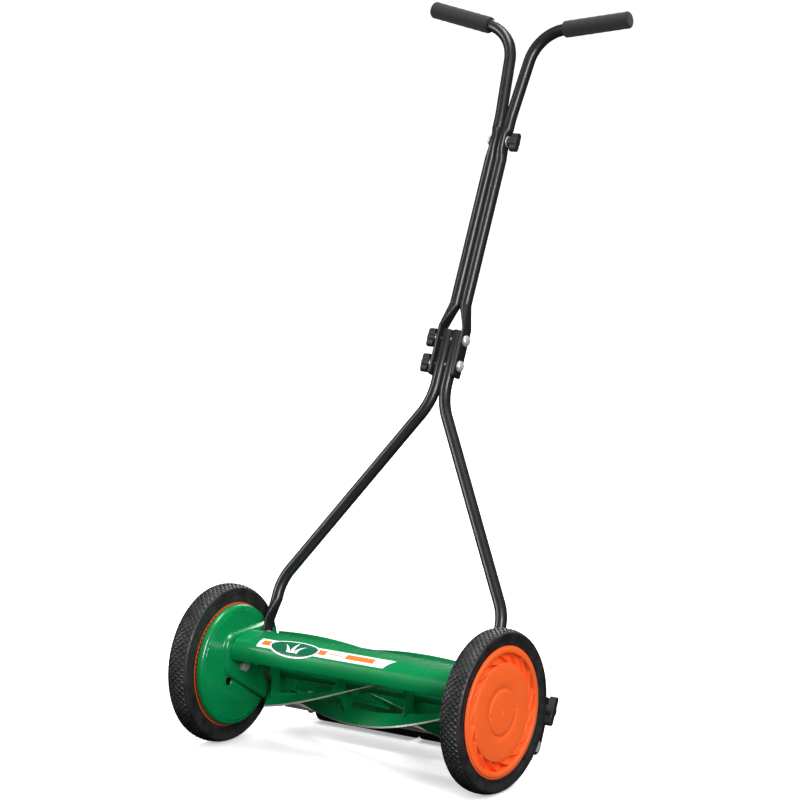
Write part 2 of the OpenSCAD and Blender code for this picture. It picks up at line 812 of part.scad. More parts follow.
module grip(s) {
    out = grip_d / 2;
    color(black) in_handle() side(s) translate([grip_end[0], 0, grip_end[1]])
        rotate([0, -90 - grip_rise, 0]) difference() {
            rotate_extrude($fn = 64) polygon(concat([[0, 0]],
                [for (i = [0 : 5]) [out - 5 + 5 * sin(i * 18), 5 - 5 * cos(i * 18)]],
                [for (i = [0 : 5]) [out - 3 + 3 * cos(i * 18), grip_len - 3 + 3 * sin(i * 18)]],
                [[0, grip_len]]));
            translate([0, 0, 4]) cylinder(h = grip_len, r = tube_r, $fn = 64);
        }
}

module handle_pivot_bolts() {
    color(steel) for (s = [left, right]) side(s) {
        rod(foot_x - foot_t / 2 - side_gap, plate_out + 7, bolt_r, pivot);
        rod(foot_x - foot_t / 2 - side_gap - 4, foot_x - foot_t / 2 - side_gap, 9, pivot);
        difference() {
            hex_x(plate_out, plate_out + nut_t, pivot, 13);
            rod(plate_out - 1, plate_out + nut_t + 1, bolt_r, pivot);
        }
    }
}

// Stack of one joint in the handle, outwards from its tubes
lap_out = lap_x + lap_t / 2;
pinch_out = 7.8 + 7.6;
washer_t = 1.6;
washer_r = 9;
hub_r = 8.5;
wing_half = 15.5;
wing_r = 6;
knob_h = 17;

module dome_head(s, x, rise) {
    translate([s * x, 0, rise]) rotate([0, s * 90, 0]) rotate_extrude($fn = 48)
        polygon(concat([[0, 0]], [for (i = [0 : 5]) [8.5 * cos(i * 18), 4.8 * sin(i * 18)]]));
}

// A bolt across the handle: its head on side s, its thread in a knob on the other side
module cross_bolt(s, out, rise) {
    in_handle() {
        translate([-out - washer_t - 14 * (s > 0 ? 1 : 0), 0, rise]) rotate([0, 90, 0])
            cylinder(h = 2 * (out + washer_t) + 14, r = bolt_r, $fn = 48);
        dome_head(s, out + washer_t, rise);
    }
}

module lower_joint_bolts() {
    color(steel) for (rise = lap_bolts) cross_bolt(right, lap_out, rise);
}

module upper_joint_bolt() {
    color(steel) cross_bolt(left, pinch_out, upper_bolt_rise);
}

module washer_pair(out, rise) {
    for (s = [left, right]) side(s) difference() {
        translate([out, 0, rise]) rotate([0, 90, 0]) cylinder(h = washer_t, r = washer_r, $fn = 48);
        translate([out - 1, 0, rise]) rotate([0, 90, 0]) cylinder(h = washer_t + 2, r = bolt_r, $fn = 48);
    }
}

module joint_washers() {
    color(steel) in_handle() {
        for (rise = lap_bolts) washer_pair(lap_out, rise);
        washer_pair(pinch_out, upper_bolt_rise);
    }
}

// A wing knob on a joint, its bar along the tubes
module joint_knob(s, out, rise) {
    color(black) in_handle() translate([s * (out + washer_t + side_gap), 0, rise]) rotate([0, s * 90, 0])
        difference() {
            union() {
                cylinder(h = knob_h, r = hub_r, $fn = 48);
                translate([0, 0, 5]) linear_extrude(knob_h - 5)
                    polygon(belt([for (way = [-1, 1]) [way * (wing_half - wing_r), 0, wing_r]]));
            }
            translate([0, 0, -1]) cylinder(h = 15.4, r = bolt_r + run_fit, $fn = 64);
        }
}

side_plate(left);  // side_plate_left
side_plate(right);  // side_plate_right
top_cover();
cover_decal();
cover_bolts();
cutter_bar();
cutter_bar_bolts();
bed_knife();
bed_knife_screws();
adjusting_screws();
wheel_axle(left);  // wheel_axle_left
wheel_axle(right);  // wheel_axle_right
axle_nuts();
reel_bearing(left);  // reel_bearing_left
reel_bearing(right);  // reel_bearing_right
handle_pivot_bolts();
height_bolts();
wheel(left);  // wheel_left
wheel(right);  // wheel_right
tyre(left);  // tyre_left
tyre(right);  // tyre_right
hub_cap(left);  // hub_cap_left
hub_cap(right);  // hub_cap_right
reel_shaft();
for (k = [0 : 3]) spider(k);
for (i = [0 : blade_count - 1]) reel_blade(i);
pinion(left);  // pinion_left
pinion(right);  // pinion_right
pawl(left, 2);  // pawl_left
pawl(right, 0);  // pawl_right
shaft_clips();
roller_bracket(left);  // roller_bracket_left
roller_bracket(right);  // roller_bracket_right
roller_axle();
roller_spacers();
roller(left);  // roller_left
roller(right);  // roller_right
height_knob(left);  // height_knob_left
height_knob(right);  // height_knob_right
lower_tube(left);  // lower_tube_left
lower_tube(right);  // lower_tube_right
upper_tube(left);  // upper_tube_left
upper_tube(right);  // upper_tube_right
grip(left);  // grip_left
grip(right);  // grip_right
lower_joint_bolts();
upper_joint_bolt();
joint_washers();
joint_knob(left, lap_out, lap_bolts[0]);  // joint_knob_lower
joint_knob(left, lap_out, lap_bolts[1]);  // joint_knob_middle
joint_knob(right, pinch_out, upper_bolt_rise);  // joint_knob_upper
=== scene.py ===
"""Looks of the push reel mower.

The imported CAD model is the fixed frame. Each class below is one sub-assembly of the mower: it builds
the pieces that need more shape than the CAD solids have, in the same place, and dresses the rest.
Sizes are in millimetres, in the mower's own frame: X along the wheel axles, -Y to the front, +Z up.
"""

import logging
import math
from dataclasses import dataclass, field
from enum import Enum
from typing import Sequence

import bmesh
import bpy
import numpy as np
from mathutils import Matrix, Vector
from mathutils.geometry import delaunay_2d_cdt

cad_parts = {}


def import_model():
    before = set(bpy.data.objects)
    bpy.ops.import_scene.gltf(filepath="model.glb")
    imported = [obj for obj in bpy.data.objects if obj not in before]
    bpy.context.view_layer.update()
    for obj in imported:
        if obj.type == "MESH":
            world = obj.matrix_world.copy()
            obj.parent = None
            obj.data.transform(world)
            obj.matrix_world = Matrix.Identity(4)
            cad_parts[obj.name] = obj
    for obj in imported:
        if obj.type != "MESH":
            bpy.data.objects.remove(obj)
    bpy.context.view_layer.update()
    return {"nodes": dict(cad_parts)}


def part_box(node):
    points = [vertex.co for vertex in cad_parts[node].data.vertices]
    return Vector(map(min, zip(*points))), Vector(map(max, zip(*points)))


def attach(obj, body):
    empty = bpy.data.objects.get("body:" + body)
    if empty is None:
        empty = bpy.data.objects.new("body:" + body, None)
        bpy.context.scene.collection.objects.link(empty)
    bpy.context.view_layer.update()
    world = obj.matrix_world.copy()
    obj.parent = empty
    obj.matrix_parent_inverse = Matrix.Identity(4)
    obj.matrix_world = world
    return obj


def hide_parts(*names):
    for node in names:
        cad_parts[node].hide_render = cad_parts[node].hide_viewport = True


log = logging.getLogger("reel_mower")

MM = 0.001
HARD_EDGE_DEG = 38.0
WELD_MM = 0.002
NOISE_RANGE = (0.35, 0.65)
RANGE_SOCKETS = ("From Min", "From Max", "To Min", "To Max")
WHITE = (1.0, 1.0, 1.0, 1.0)

Colour = tuple[float, float, float]
Point2 = tuple[float, float]
Point3 = tuple[float, float, float]
Circle = tuple[float, float, float]
Section = tuple[float, float, float]
Station = tuple[float, float, float, float, float]


class Side(Enum):
    """Side of the mower, as the sign of X."""

    LEFT = -1
    RIGHT = 1

    @property
    def word(self) -> str:
        """The side's name as the CAD nodes spell it."""
        return self.name.lower()


class Grain(Enum):
    """How the fine marks of a metal run, as waves per metre along X, Y and Z."""

    ALONG = (40.0, 900.0, 900.0)
    NONE = (300.0, 300.0, 300.0)


# ---------------------------------------------------------------- finishes


def set_range(node: bpy.types.Node, start: Point2, end: Point2) -> None:
    """Makes a Map Range node take one range to another."""
    for key, value in zip(RANGE_SOCKETS, (*start, *end)):
        node.inputs[key].default_value = value


def scaled(colour: Colour, factor: float) -> Colour:
    """A colour made lighter or darker."""
    return tuple(min(1.0, c * factor) for c in colour)


class NodeSheet:
    """A short way to lay out one material's nodes."""

    def __init__(self, name: str) -> None:
        """Starts a material with a Principled shader.

        Args:
            name: The material's name.
        """
        self.material = bpy.data.materials.new(name)
        self.material.use_nodes = True
        self.tree = self.material.node_tree
        self.shader = self.tree.nodes["Principled BSDF"]
        self.place = self.tree.nodes.new("ShaderNodeTexCoord").outputs["Object"]

    def add(self, kind: str, **values: object) -> bpy.types.Node:
        """Adds a node and sets its attributes or unlinked inputs.

        Args:
            kind: The node's type name without its ShaderNode prefix.
            **values: Attributes, or inputs by name with spaces as underscores.

        Returns:
            The new node.
        """
        node = self.tree.nodes.new("ShaderNode" + kind)
        for key, value in values.items():
            if hasattr(node, key):
                setattr(node, key, value)
            else:
                node.inputs[key.replace("_", " ")].default_value = value
        return node

    def join(self, source: bpy.types.NodeSocket, target: bpy.types.NodeSocket) -> None:
        """Links two sockets."""
        self.tree.links.new(source, target)

    def noise(self, stretch: Sequence[float], detail: float = 3.0) -> bpy.types.NodeSocket:
        """Noise in the mower's frame.

        Args:
            stretch: Waves per metre along X, Y and Z.
            detail: Octaves of finer noise.

        Returns:
            The noise value socket.
        """
        mapping = self.add("Mapping", vector_type="POINT")
        mapping.inputs["Scale"].default_value = stretch
        self.join(self.place, mapping.inputs["Vector"])
        noise = self.add("TexNoise", Scale=1.0, Detail=detail)
        self.join(mapping.outputs["Vector"], noise.inputs["Vector"])
        return noise.outputs["Fac"]

    def even(self, waves: float, detail: float = 3.0) -> bpy.types.NodeSocket:
        """Noise of the same scale along every axis, in waves per metre."""
        return self.noise((waves, waves, waves), detail)

    def spread(self, source: bpy.types.NodeSocket, low: float, high: float) -> bpy.types.NodeSocket:
        """Maps the useful part of a noise to a range.

        Args:
            source: The noise socket.
            low: Result at the low end of NOISE_RANGE.
            high: Result at its high end.

        Returns:
            The mapped value socket.
        """
        node = self.add("MapRange", clamp=True)
        set_range(node, NOISE_RANGE, (low, high))
        self.join(source, node.inputs["Value"])
        return node.outputs["Result"]

    def tint(self, source: bpy.types.NodeSocket, first: Colour, second: Colour) -> bpy.types.NodeSocket:
        """Blends two colours by a value.

        Args:
            source: Value from 0 to 1.
            first: Colour at 0.
            second: Colour at 1.

        Returns:
            The colour socket.
        """
        node = self.add("Mix", data_type="RGBA")
        self.join(source, node.inputs[0])
        node.inputs[6].default_value = (*first, 1.0)
        node.inputs[7].default_value = (*second, 1.0)
        return node.outputs[2]

    def bump(self, height: bpy.types.NodeSocket, strength: float, depth_mm: float) -> None:
        """Adds a bump to the shader, on top of any earlier one.

        Args:
            height: Height from 0 to 1.
            strength: How much of it shows.
            depth_mm: Height of the bumps.
        """
        node = self.add("Bump", Strength=strength, Distance=depth_mm * MM)
        self.join(height, node.inputs["Height"])
        normal = self.shader.inputs["Normal"]
        if normal.is_linked:
            self.join(normal.links[0].from_socket, node.inputs["Normal"])
        self.join(node.outputs["Normal"], normal)

    def set(self, **values: float | tuple[float, ...]) -> None:
        """Sets sockets of the shader, spaces in their names given as underscores."""
        for key, value in values.items():
            self.shader.inputs[key.replace("_", " ")].default_value = value

    def colour(self, source: bpy.types.NodeSocket) -> None:
        """Feeds the base colour."""
        self.join(source, self.shader.inputs["Base Color"])

    def rough(self, source: bpy.types.NodeSocket) -> None:
        """Feeds the roughness."""
        self.join(source, self.shader.inputs["Roughness"])

    def mottle(self, base: Colour, waves: float, detail: float, low: float, high: float) -> None:
        """Feeds the base colour with patches of one colour's shades.

        Args:
            base: The colour.
            waves: Patches per metre.
            detail: Octaves of finer change.
            low: Factor on the colour in the darkest patches.
            high: Factor in the lightest ones.
        """
        patches = self.spread(self.even(waves, detail), 0.0, 1.0)
        self.colour(self.tint(patches, scaled(base, low), scaled(base, high)))


@dataclass(frozen=True)
class Finish:
    """A surface finish, built once and shared."""

    name: str
    base: Colour

    def lay(self, sheet: NodeSheet) -> None:
        """Lays the finish's nodes out. Each kind of finish says how."""
        raise NotImplementedError

    def material(self) -> bpy.types.Material:
        """Finds the finish's material, or makes it on first use.

        Returns:
            The material.
        """
        found = bpy.data.materials.get(self.name)
        if found is None:
            sheet = NodeSheet(self.name)
            self.lay(sheet)
            found = sheet.material
        return found


@dataclass(frozen=True)
class SprayedPaint(Finish):
    """Glossy enamel over pressed steel, with a faint orange peel."""

    gloss: float = 0.25
    peel_mm: float = 0.04
    coat: float = 0.35

    def lay(self, sheet: NodeSheet) -> None:
        """Cloudy colour, orange peel and a thin coat.

        Args:
            sheet: The material's nodes.
        """
        sheet.mottle(self.base, 9.0, 2.0, 0.93, 1.06)
        sheet.rough(sheet.spread(sheet.even(45.0, 4.0), self.gloss * 0.94, self.gloss * 1.1))
        sheet.bump(sheet.even(260.0, 1.0), 0.03, self.peel_mm)
        sheet.set(Coat_Weight=self.coat, Coat_Roughness=0.08, IOR=1.5)


@dataclass(frozen=True)
class Moulding(Finish):
    """Injection-moulded plastic with a fine spark-eroded texture."""

    gloss: float = 0.4
    grain_mm: float = 0.03

    def lay(self, sheet: NodeSheet) -> None:
        """Slight flow marks in colour and a fine texture.

        Args:
            sheet: The material's nodes.
        """
        sheet.mottle(self.base, 14.0, 3.0, 0.95, 1.04)
        sheet.rough(sheet.spread(sheet.even(60.0), self.gloss * 0.88, self.gloss * 1.12))
        sheet.bump(sheet.even(1300.0, 2.0), 0.25, self.grain_mm)
        sheet.set(IOR=1.48)


@dataclass(frozen=True)
class TyreRubber(Finish):
    """Solid black rubber with a dry, slightly dusty skin."""

    dust: Colour = (0.03, 0.03, 0.03)

    def lay(self, sheet: NodeSheet) -> None:
        """Dust in patches, a matt skin and fine pits.

        Args:
            sheet: The material's nodes.
        """
        patches = sheet.spread(sheet.even(55.0, 6.0), 0.0, 0.75)
        sheet.colour(sheet.tint(patches, self.base, self.dust))
        sheet.rough(sheet.spread(sheet.even(90.0), 0.4, 0.56))
        sheet.bump(sheet.even(1100.0, 4.0), 0.35, 0.09)
        sheet.set(IOR=1.5)


@dataclass(frozen=True)
class FoamSkin(Finish):
    """Closed-cell foam with its fine open pores."""

    cell_per_m: float = 900.0

    def lay(self, sheet: NodeSheet) -> None:
        """Cells as bumps and as a slight change of colour.

        Args:
            sheet: The material's nodes.
        """
        cells = sheet.add("TexVoronoi", Scale=self.cell_per_m, feature="F1")
        sheet.join(sheet.place, cells.inputs["Vector"])
        shade = sheet.spread(cells.outputs["Distance"], 0.0, 1.0)
        sheet.colour(sheet.tint(shade, scaled(self.base, 1.25), scaled(self.base, 0.7)))
        sheet.bump(cells.outputs["Distance"], 0.55, 0.35)
        sheet.bump(sheet.even(260.0, 4.0), 0.3, 0.3)
        sheet.set(Roughness=0.93, Sheen_Weight=0.15, Sheen_Roughness=0.5)


@dataclass(frozen=True)
class Metal(Finish):
    """Bare or plated steel."""

    rough: float = 0.3
    grain: Grain = Grain.NONE
    metallic: float = 0.75

    def lay(self, sheet: NodeSheet) -> None:
        """Fine grinding marks in roughness and height.

        Args:
            sheet: The material's nodes.
        """
        marks = sheet.noise(self.grain.value, 4.0)
        sheet.rough(sheet.spread(marks, self.rough * 0.75, self.rough * 1.35))
        sheet.mottle(self.base, 30.0, 3.0, 0.9, 1.06)
        sheet.bump(marks, 0.15, 0.02)
        sheet.set(Metallic=self.metallic)


@dataclass(frozen=True)
class PrintedFilm(Finish):
    """Printed vinyl film."""

    def lay(self, sheet: NodeSheet) -> None:
        """Even ink with a faint unevenness in its gloss.

        Args:
            sheet: The material's nodes.
        """
        sheet.mottle(self.base, 120.0, 3.0, 0.98, 1.02)
        sheet.rough(sheet.spread(sheet.even(70.0), 0.26, 0.36))
        sheet.bump(sheet.even(240.0), 0.06, 0.03)
        sheet.set(Coat_Weight=0.2, Coat_Roughness=0.1)


@dataclass(frozen=True)
class MatFloor(Finish):
    """Plain pale studio floor, lit a little from inside."""

    glow: float = 0.34

    def lay(self, sheet: NodeSheet) -> None:
        """A very faint unevenness.

        Args:
            sheet: The material's nodes.
        """
        sheet.mottle(self.base, 1.5, 3.0, 0.995, 1.0)
        sheet.set(Roughness=0.55, Emission_Strength=self.glow, Emission_Color=WHITE)


GREEN_PAINT = SprayedPaint("green_enamel", (0.001, 0.2, 0.056))
BLACK_PAINT = SprayedPaint("black_enamel", (0.013, 0.013, 0.014), gloss=0.34, coat=0.15)
ORANGE = Moulding("orange_moulding", (0.9, 0.125, 0.022), gloss=0.42)
BLACK_PLASTIC = Moulding("black_moulding", (0.016, 0.016, 0.017), gloss=0.45, grain_mm=0.08)
RUBBER = TyreRubber("tyre_rubber", (0.009, 0.009, 0.01))
FOAM = FoamSkin("grip_foam", (0.011, 0.011, 0.0115))
ZINC = Metal("zinc_plate", (0.78, 0.78, 0.79), rough=0.28, metallic=0.6)
GROUND_STEEL = Metal("ground_steel", (0.66, 0.62, 0.6), rough=0.38, grain=Grain.ALONG, metallic=0.35)
GEAR_IRON = Metal("gear_iron", (0.27, 0.27, 0.28), rough=0.45)
FILM_WHITE = PrintedFilm("film_white", (0.86, 0.87, 0.86))
FILM_ORANGE = PrintedFilm("film_orange", (0.9, 0.16, 0.025))
FILM_GREEN = PrintedFilm("film_green", (0.004, 0.11, 0.05))
FLOOR = MatFloor("studio_floor", (0.93, 0.93, 0.93))


# ---------------------------------------------------------------- shapes


def smooth_step(low: float, high: float, value: np.ndarray) -> np.ndarray:
    """0 below low, 1 above high, with an even curve between."""
    t = np.clip((value - low) / (high - low), 0.0, 1.0)
    return t * t * (3.0 - 2.0 * t)


def unit(v: np.ndarray) -> np.ndarray:
    """A vector of length one in the same direction."""
    return v / np.linalg.norm(v)


def toward_front(degrees: float) -> np.ndarray:
    """Unit (Y, Z) vector turned from straight up towards the front."""
    a = math.radians(degrees)
    return np.array([-math.sin(a), math.cos(a)])


def belt(circles: Sequence[Circle], grow: float = 0.0, steps: int = 10) -> np.ndarray:
    """Outline of a belt round circles.

    Args:
        circles: (x, y, radius) of each circle, anticlockwise.
        grow: How far the belt is moved out.
        steps: Chords round each circle.

    Returns:
        The outline's points.
    """

    def run_angle(a: Sequence[float], b: Sequence[float]) -> float:
        """Angle of the outward normal of the straight run from a to b."""
        dx, dy = b[0] - a[0], b[1] - a[1]
        return math.atan2(dy, dx) - math.acos((a[2] - b[2]) / math.hypot(dx, dy))

    points = []
    for i, c in enumerate(circles):
        start = run_angle(circles[i - 1], c)
        turn = (run_angle(c, circles[(i + 1) % len(circles)]) - start) % (2 * math.pi)
        for k in range(steps + 1):
            a = start + turn * k / steps
            r = c[2] + grow
            points.append((c[0] + r * math.cos(a), c[1] + r * math.sin(a)))
    return np.array(points)


def ring_points(centre: Sequence[float], radius: float, count: int) -> np.ndarray:
    """Points round a circle in the plane."""
    a = np.arange(count) * 2 * math.pi / count
    return np.stack([centre[0] + radius * np.cos(a), centre[1] + radius * np.sin(a)], axis=1)


def fillet(a: np.ndarray, b: np.ndarray, c: np.ndarray, radius: float, steps: int) -> list[np.ndarray]:
    """Points round the bend at b of the path a-b-c.

    Args:
        a: A point before the bend.
        b: The corner.
        c: A point after the bend.
        radius: Radius of the bend.
        steps: Chords in the bend.

    Returns:
        The bend's points, from its start to its end.
    """
    u, v = unit(a - b), unit(c - b)
    half = math.acos(float(np.clip(u @ v, -1, 1))) / 2
    centre = b + unit(u + v) * radius / math.sin(half)
    p = b + u * radius / math.tan(half) - centre
    q = b + v * radius / math.tan(half) - centre
    way = math.copysign(1.0, p[0] * q[1] - p[1] * q[0])
    points = []
    for i in range(steps + 1):
        t = way * (math.pi - 2 * half) * i / steps
        turn = np.array([[math.cos(t), -math.sin(t)], [math.sin(t), math.cos(t)]])
        points.append(centre + turn @ p)
    return points


@dataclass
class Shape:
    """A mesh in the making: points in millimetres, faces and each face's material slot."""

    points: np.ndarray
    faces: list[tuple[int, ...]]
    slots: list[int] = field(default_factory=list)

    def painted(self, slot: int) -> "Shape":
        """The same shape with one material slot on all its faces."""
        return Shape(self.points, self.faces, [slot] * len(self.faces))

    def __add__(self, other: "Shape") -> "Shape":
        """Puts both shapes in one mesh, not welded.

        Args:
            other: The second shape.

        Returns:
            The joint shape.
        """
        base = len(self.points)
        moved = [tuple(i + base for i in face) for face in other.faces]
        slots = (self.slots or [0] * len(self.faces)) + (other.slots or [0] * len(other.faces))
        return Shape(np.concatenate([self.points, other.points]), self.faces + moved, slots)

    def on(self, side: Side) -> "Shape":
        """Puts the shape, drawn for the right side, on one side of the mower.

        Args:
            side: The side.

        Returns:
            The shape itself, or its mirror image.
        """
        if side is Side.RIGHT:
            return self
        mirror = np.array([-1.0, 1.0, 1.0])
        return Shape(self.points * mirror, [face[::-1] for face in self.faces], self.slots)

    def build(
        self, name: str, *finishes: Finish, sharp_deg: float = HARD_EDGE_DEG, recalc: bool = True
    ) -> bpy.types.Object:
        """Makes the Blender object, in metres.

        Args:
            name: The piece's name.
            *finishes: The finish of each material slot.
            sharp_deg: Edges sharper than this stay hard.
            recalc: Whether to turn all normals outwards.

        Returns:
            The new object.
        """
        mesh = bpy.data.meshes.new(name)
        mesh.from_pydata((self.points * MM).tolist(), [], self.faces)
        for finish in finishes:
            mesh.materials.append(finish.material())
        if self.slots:
            mesh.polygons.foreach_set("material_index", self.slots)
        if recalc:
            work = bmesh.new()
            work.from_mesh(mesh)
            bmesh.ops.recalc_face_normals(work, faces=work.faces)
            work.to_mesh(mesh)
            work.free()
        mesh.shade_smooth()
        mesh.set_sharp_from_angle(angle=math.radians(sharp_deg))
        piece = bpy.data.objects.new(name, mesh)
        bpy.context.scene.collection.objects.link(piece)
        return piece


def lattice(points: np.ndarray, close_rows: bool = False, close_cols: bool = False) -> Shape:
    """Quads over a grid of points.

    Args:
        points: Array of rows by columns by three.
        close_rows: Whether the last row joins the first.
        close_cols: Whether the last column joins the first.

    Returns:
        The shape.
    """
    rows, cols = points.shape[:2]
    faces = []
    for i in range(rows if close_rows else rows - 1):
        a, b = i * cols, (i + 1) % rows * cols
        for j in range(cols if close_cols else cols - 1):
            k = (j + 1) % cols
            faces.append((a + j, a + k, b + k, b + j))
    return Shape(points.reshape(-1, 3), faces)


def turned(profile: np.ndarray, centre: Point2, steps: int) -> Shape:
    """Turns an open profile about an X axis.

    Args:
        profile: Rows of (r, x).
        centre: (Y, Z) of the axis.
        steps: Chords round the axis.

    Returns:
        The shape, open at the profile's ends.
    """
    a = np.arange(steps) * 2 * math.pi / steps
    r, x = profile[:, :1], profile[:, 1:2]
    grid = np.stack([x + 0 * a, centre[0] + r * np.sin(a), centre[1] + r * np.cos(a)], axis=2)
    return lattice(grid, close_cols=True)


def prism(outline: np.ndarray, x0: float, x1: float) -> Shape:
    """Draws a (Y, Z) outline out along X.

    Args:
        outline: The outline's points.
        x0: X of its first end.
        x1: X of its other end.

    Returns:
        The closed shape.
    """
    n = len(outline)
    points = [(x, y, z) for x in (x0, x1) for y, z in outline]
    sides = [(i, (i + 1) % n, n + (i + 1) % n, n + i) for i in range(n)]
    return Shape(np.array(points), sides + [tuple(range(n))[::-1], tuple(range(n, 2 * n))])


def soften(piece: bpy.types.Object, width_mm: float, segments: int = 2, weld: bool = False) -> None:
    """Rounds a piece's hard edges with modifiers.

    Args:
        piece: The object.
        width_mm: Width of the rounding.
        segments: Facets across it.
        weld: Whether to join doubled points first.
    """
    if weld:
        joined = piece.modifiers.new("join", "WELD")
        joined.merge_threshold = WELD_MM * MM
    bevel = piece.modifiers.new("edges", "BEVEL")
    bevel.width = width_mm * MM
    bevel.segments = segments
    bevel.limit_method = "ANGLE"
    bevel.angle_limit = math.radians(HARD_EDGE_DEG)
    bevel.harden_normals = True


def thicken(piece: bpy.types.Object, thickness_mm: float) -> None:
    """Gives a sheet its thickness, half to each side.

    Args:
        piece: The object.
        thickness_mm: The sheet's thickness.
    """
    solid = piece.modifiers.new("sheet", "SOLIDIFY")
    solid.thickness = thickness_mm * MM
    solid.offset = 0.0
    solid.use_even_offset = True


# ---------------------------------------------------------------- the frame's measures


@dataclass(frozen=True)
class Datum:
    """Places read from the CAD nodes, in millimetres."""

    axle: Point2
    wheel_in: float
    wheel_out: float
    wheel_r: float
    reel: Point2
    roller: Point2
    plate_in: float

    @staticmethod
    def middle(node: str) -> Point2:
        """(Y, Z) of the middle of a node."""
        low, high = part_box(node)
        return ((low.y + high.y) / 2 / MM, (low.z + high.z) / 2 / MM)

    @classmethod
    def read(cls) -> "Datum":
        """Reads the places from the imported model.

        Returns:
            The places.
        """
        low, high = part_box("tyre_right")
        return cls(
            axle=cls.middle("tyre_right"),
            wheel_in=low.x / MM,
            wheel_out=high.x / MM,
            wheel_r=(high.z - low.z) / 2 / MM,
            reel=cls.middle("reel_shaft"),
            roller=cls.middle("roller_right"),
            plate_in=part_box("cutter_bar")[1].x / MM,
        )


@dataclass
class Assembly:
    """What every sub-assembly shares."""

    datum: Datum
    nodes: dict[str, bpy.types.Object]

    def dress(self, finish: Finish, *names: str, edge_mm: float = 0.0) -> None:
        """Gives CAD nodes their finish and softened edges.

        Args:
            finish: The finish.
            *names: The nodes.
            edge_mm: Width of the edge rounding, or 0 for none.
        """
        for name in names:
            piece = self.nodes[name]
            piece.data.materials.clear()
            piece.data.materials.append(finish.material())
            if edge_mm:
                soften(piece, edge_mm, weld=True)
            log.info("dressed %s", name)

    def place(self, piece: bpy.types.Object, body: str, slot: str, *replaced: str) -> bpy.types.Object:
        """Rides a built piece on its body in place of CAD nodes.

        Args:
            piece: The new object.
            body: The CAD body that it moves with.
            slot: Name of a material slot; not used.
            *replaced: The CAD nodes that it stands for.

        Returns:
            The same object.
        """
        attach(piece, body)
        if replaced:
            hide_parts(*replaced)
        log.info("built %s on %s", piece.name, body)
        return piece


# ---------------------------------------------------------------- wheels


@dataclass
class Tyre(Assembly):
    """Solid rubber tyre with a lozenge tread."""

    side: Side = Side.RIGHT
    rim_r: float = 102.0
    around: int = 1120
    lozenges: int = 80
    lozenge_w: float = 10.0
    groove_part: float = 0.36
    groove_deep: float = 1.7
    tread_half: float = 15.6
    tread_tall: float = 8.0
    crown_cols: int = 45
    crown_drop: float = 3.9
    crown_power: float = 2.6
    crown_inset: float = 1.9
    # Each (height over the rim, depth under the tyre's side), from the bead to the shoulder.
    wall: tuple[Point2, ...] = (
        (0.2, 4.6), (1.2, 3.2), (2.6, 2.6), (4.0, 2.9), (5.4, 3.0), (8.0, 1.9), (12.0, 0.75),
    )
    shoulder: tuple[Point2, ...] = ((16.0, 0.2), (18.4, 0.0), (19.6, 0.35), (20.3, 1.1))
    inner_lip: tuple[Point2, ...] = (
        (0.2, 4.6), (0.2, 1.4), (-2.4, 1.4), (-2.5, 1.0), (-2.0, 0.7),
        (3.0, 0.5), (5.4, 1.2), (8.0, 1.0), (12.0, 0.6),
    )

    def section(self) -> np.ndarray:
        """Draws the section from the inner bead over the crown to the outer bead.

        Returns:
            Rows of (r, x from the tyre's middle).
        """
        top = self.datum.wheel_r - 0.05
        half = (self.datum.wheel_out - self.datum.wheel_in) / 2
        across = np.linspace(-1.0, 1.0, self.crown_cols)
        drop = self.crown_drop * np.abs(across) ** self.crown_power
        crown = np.stack([top - drop, across * (half - self.crown_inset)], axis=1)
        right = np.array([(self.rim_r + up, half - inset) for up, inset in self.wall + self.shoulder])
        left = np.array([(self.rim_r + up, inset - half) for up, inset in self.inner_lip + self.shoulder])
        return np.concatenate([left, crown, right[::-1]])

    def groove(self, theta: np.ndarray, x: np.ndarray) -> np.ndarray:
        """Draws the crossed grooves between the lozenges.

        Args:
            theta: Angle round the wheel.
            x: Distance from the tyre's middle.

        Returns:
            Depth of the grooves, from 0 to 1.
        """
        turns = self.lozenges * theta / (2 * math.pi)
        low, high = 1.0 - self.groove_part, 1.0 - self.groove_part / 3
        depth = 0.0
        for way in (1.0, -1.0):
            phase = (turns + way * x / self.lozenge_w) % 1.0
            depth = np.maximum(depth, smooth_step(low, high, np.abs(phase - 0.5) * 2.0))
        return depth

    def build(self) -> None:
        """Builds the tyre in place of its CAD ring."""
        profile = self.section()
        theta = np.arange(self.around) * 2 * math.pi / self.around
        r, x = profile[:, :1], profile[:, 1:2]
        tread = 1.0 - smooth_step(self.tread_half - 0.6, self.tread_half + 0.6, np.abs(x))
        tread = tread * (r > self.datum.wheel_r - self.tread_tall)
        radius = r - self.groove_deep * tread * self.groove(theta, x)
        middle = (self.datum.wheel_in + self.datum.wheel_out) / 2
        y = self.datum.axle[0] + radius * np.sin(theta)
        z = self.datum.axle[1] + radius * np.cos(theta)
        grid = np.stack([middle + x + 0 * theta, y, z], axis=2)
        shape = lattice(grid, close_rows=True, close_cols=True).on(self.side)
        piece = shape.build(f"rubber_tyre_{self.side.word}", RUBBER, sharp_deg=50.0)
        self.place(piece, f"{self.side.word}_wheel", "tyre", f"tyre_{self.side.word}")


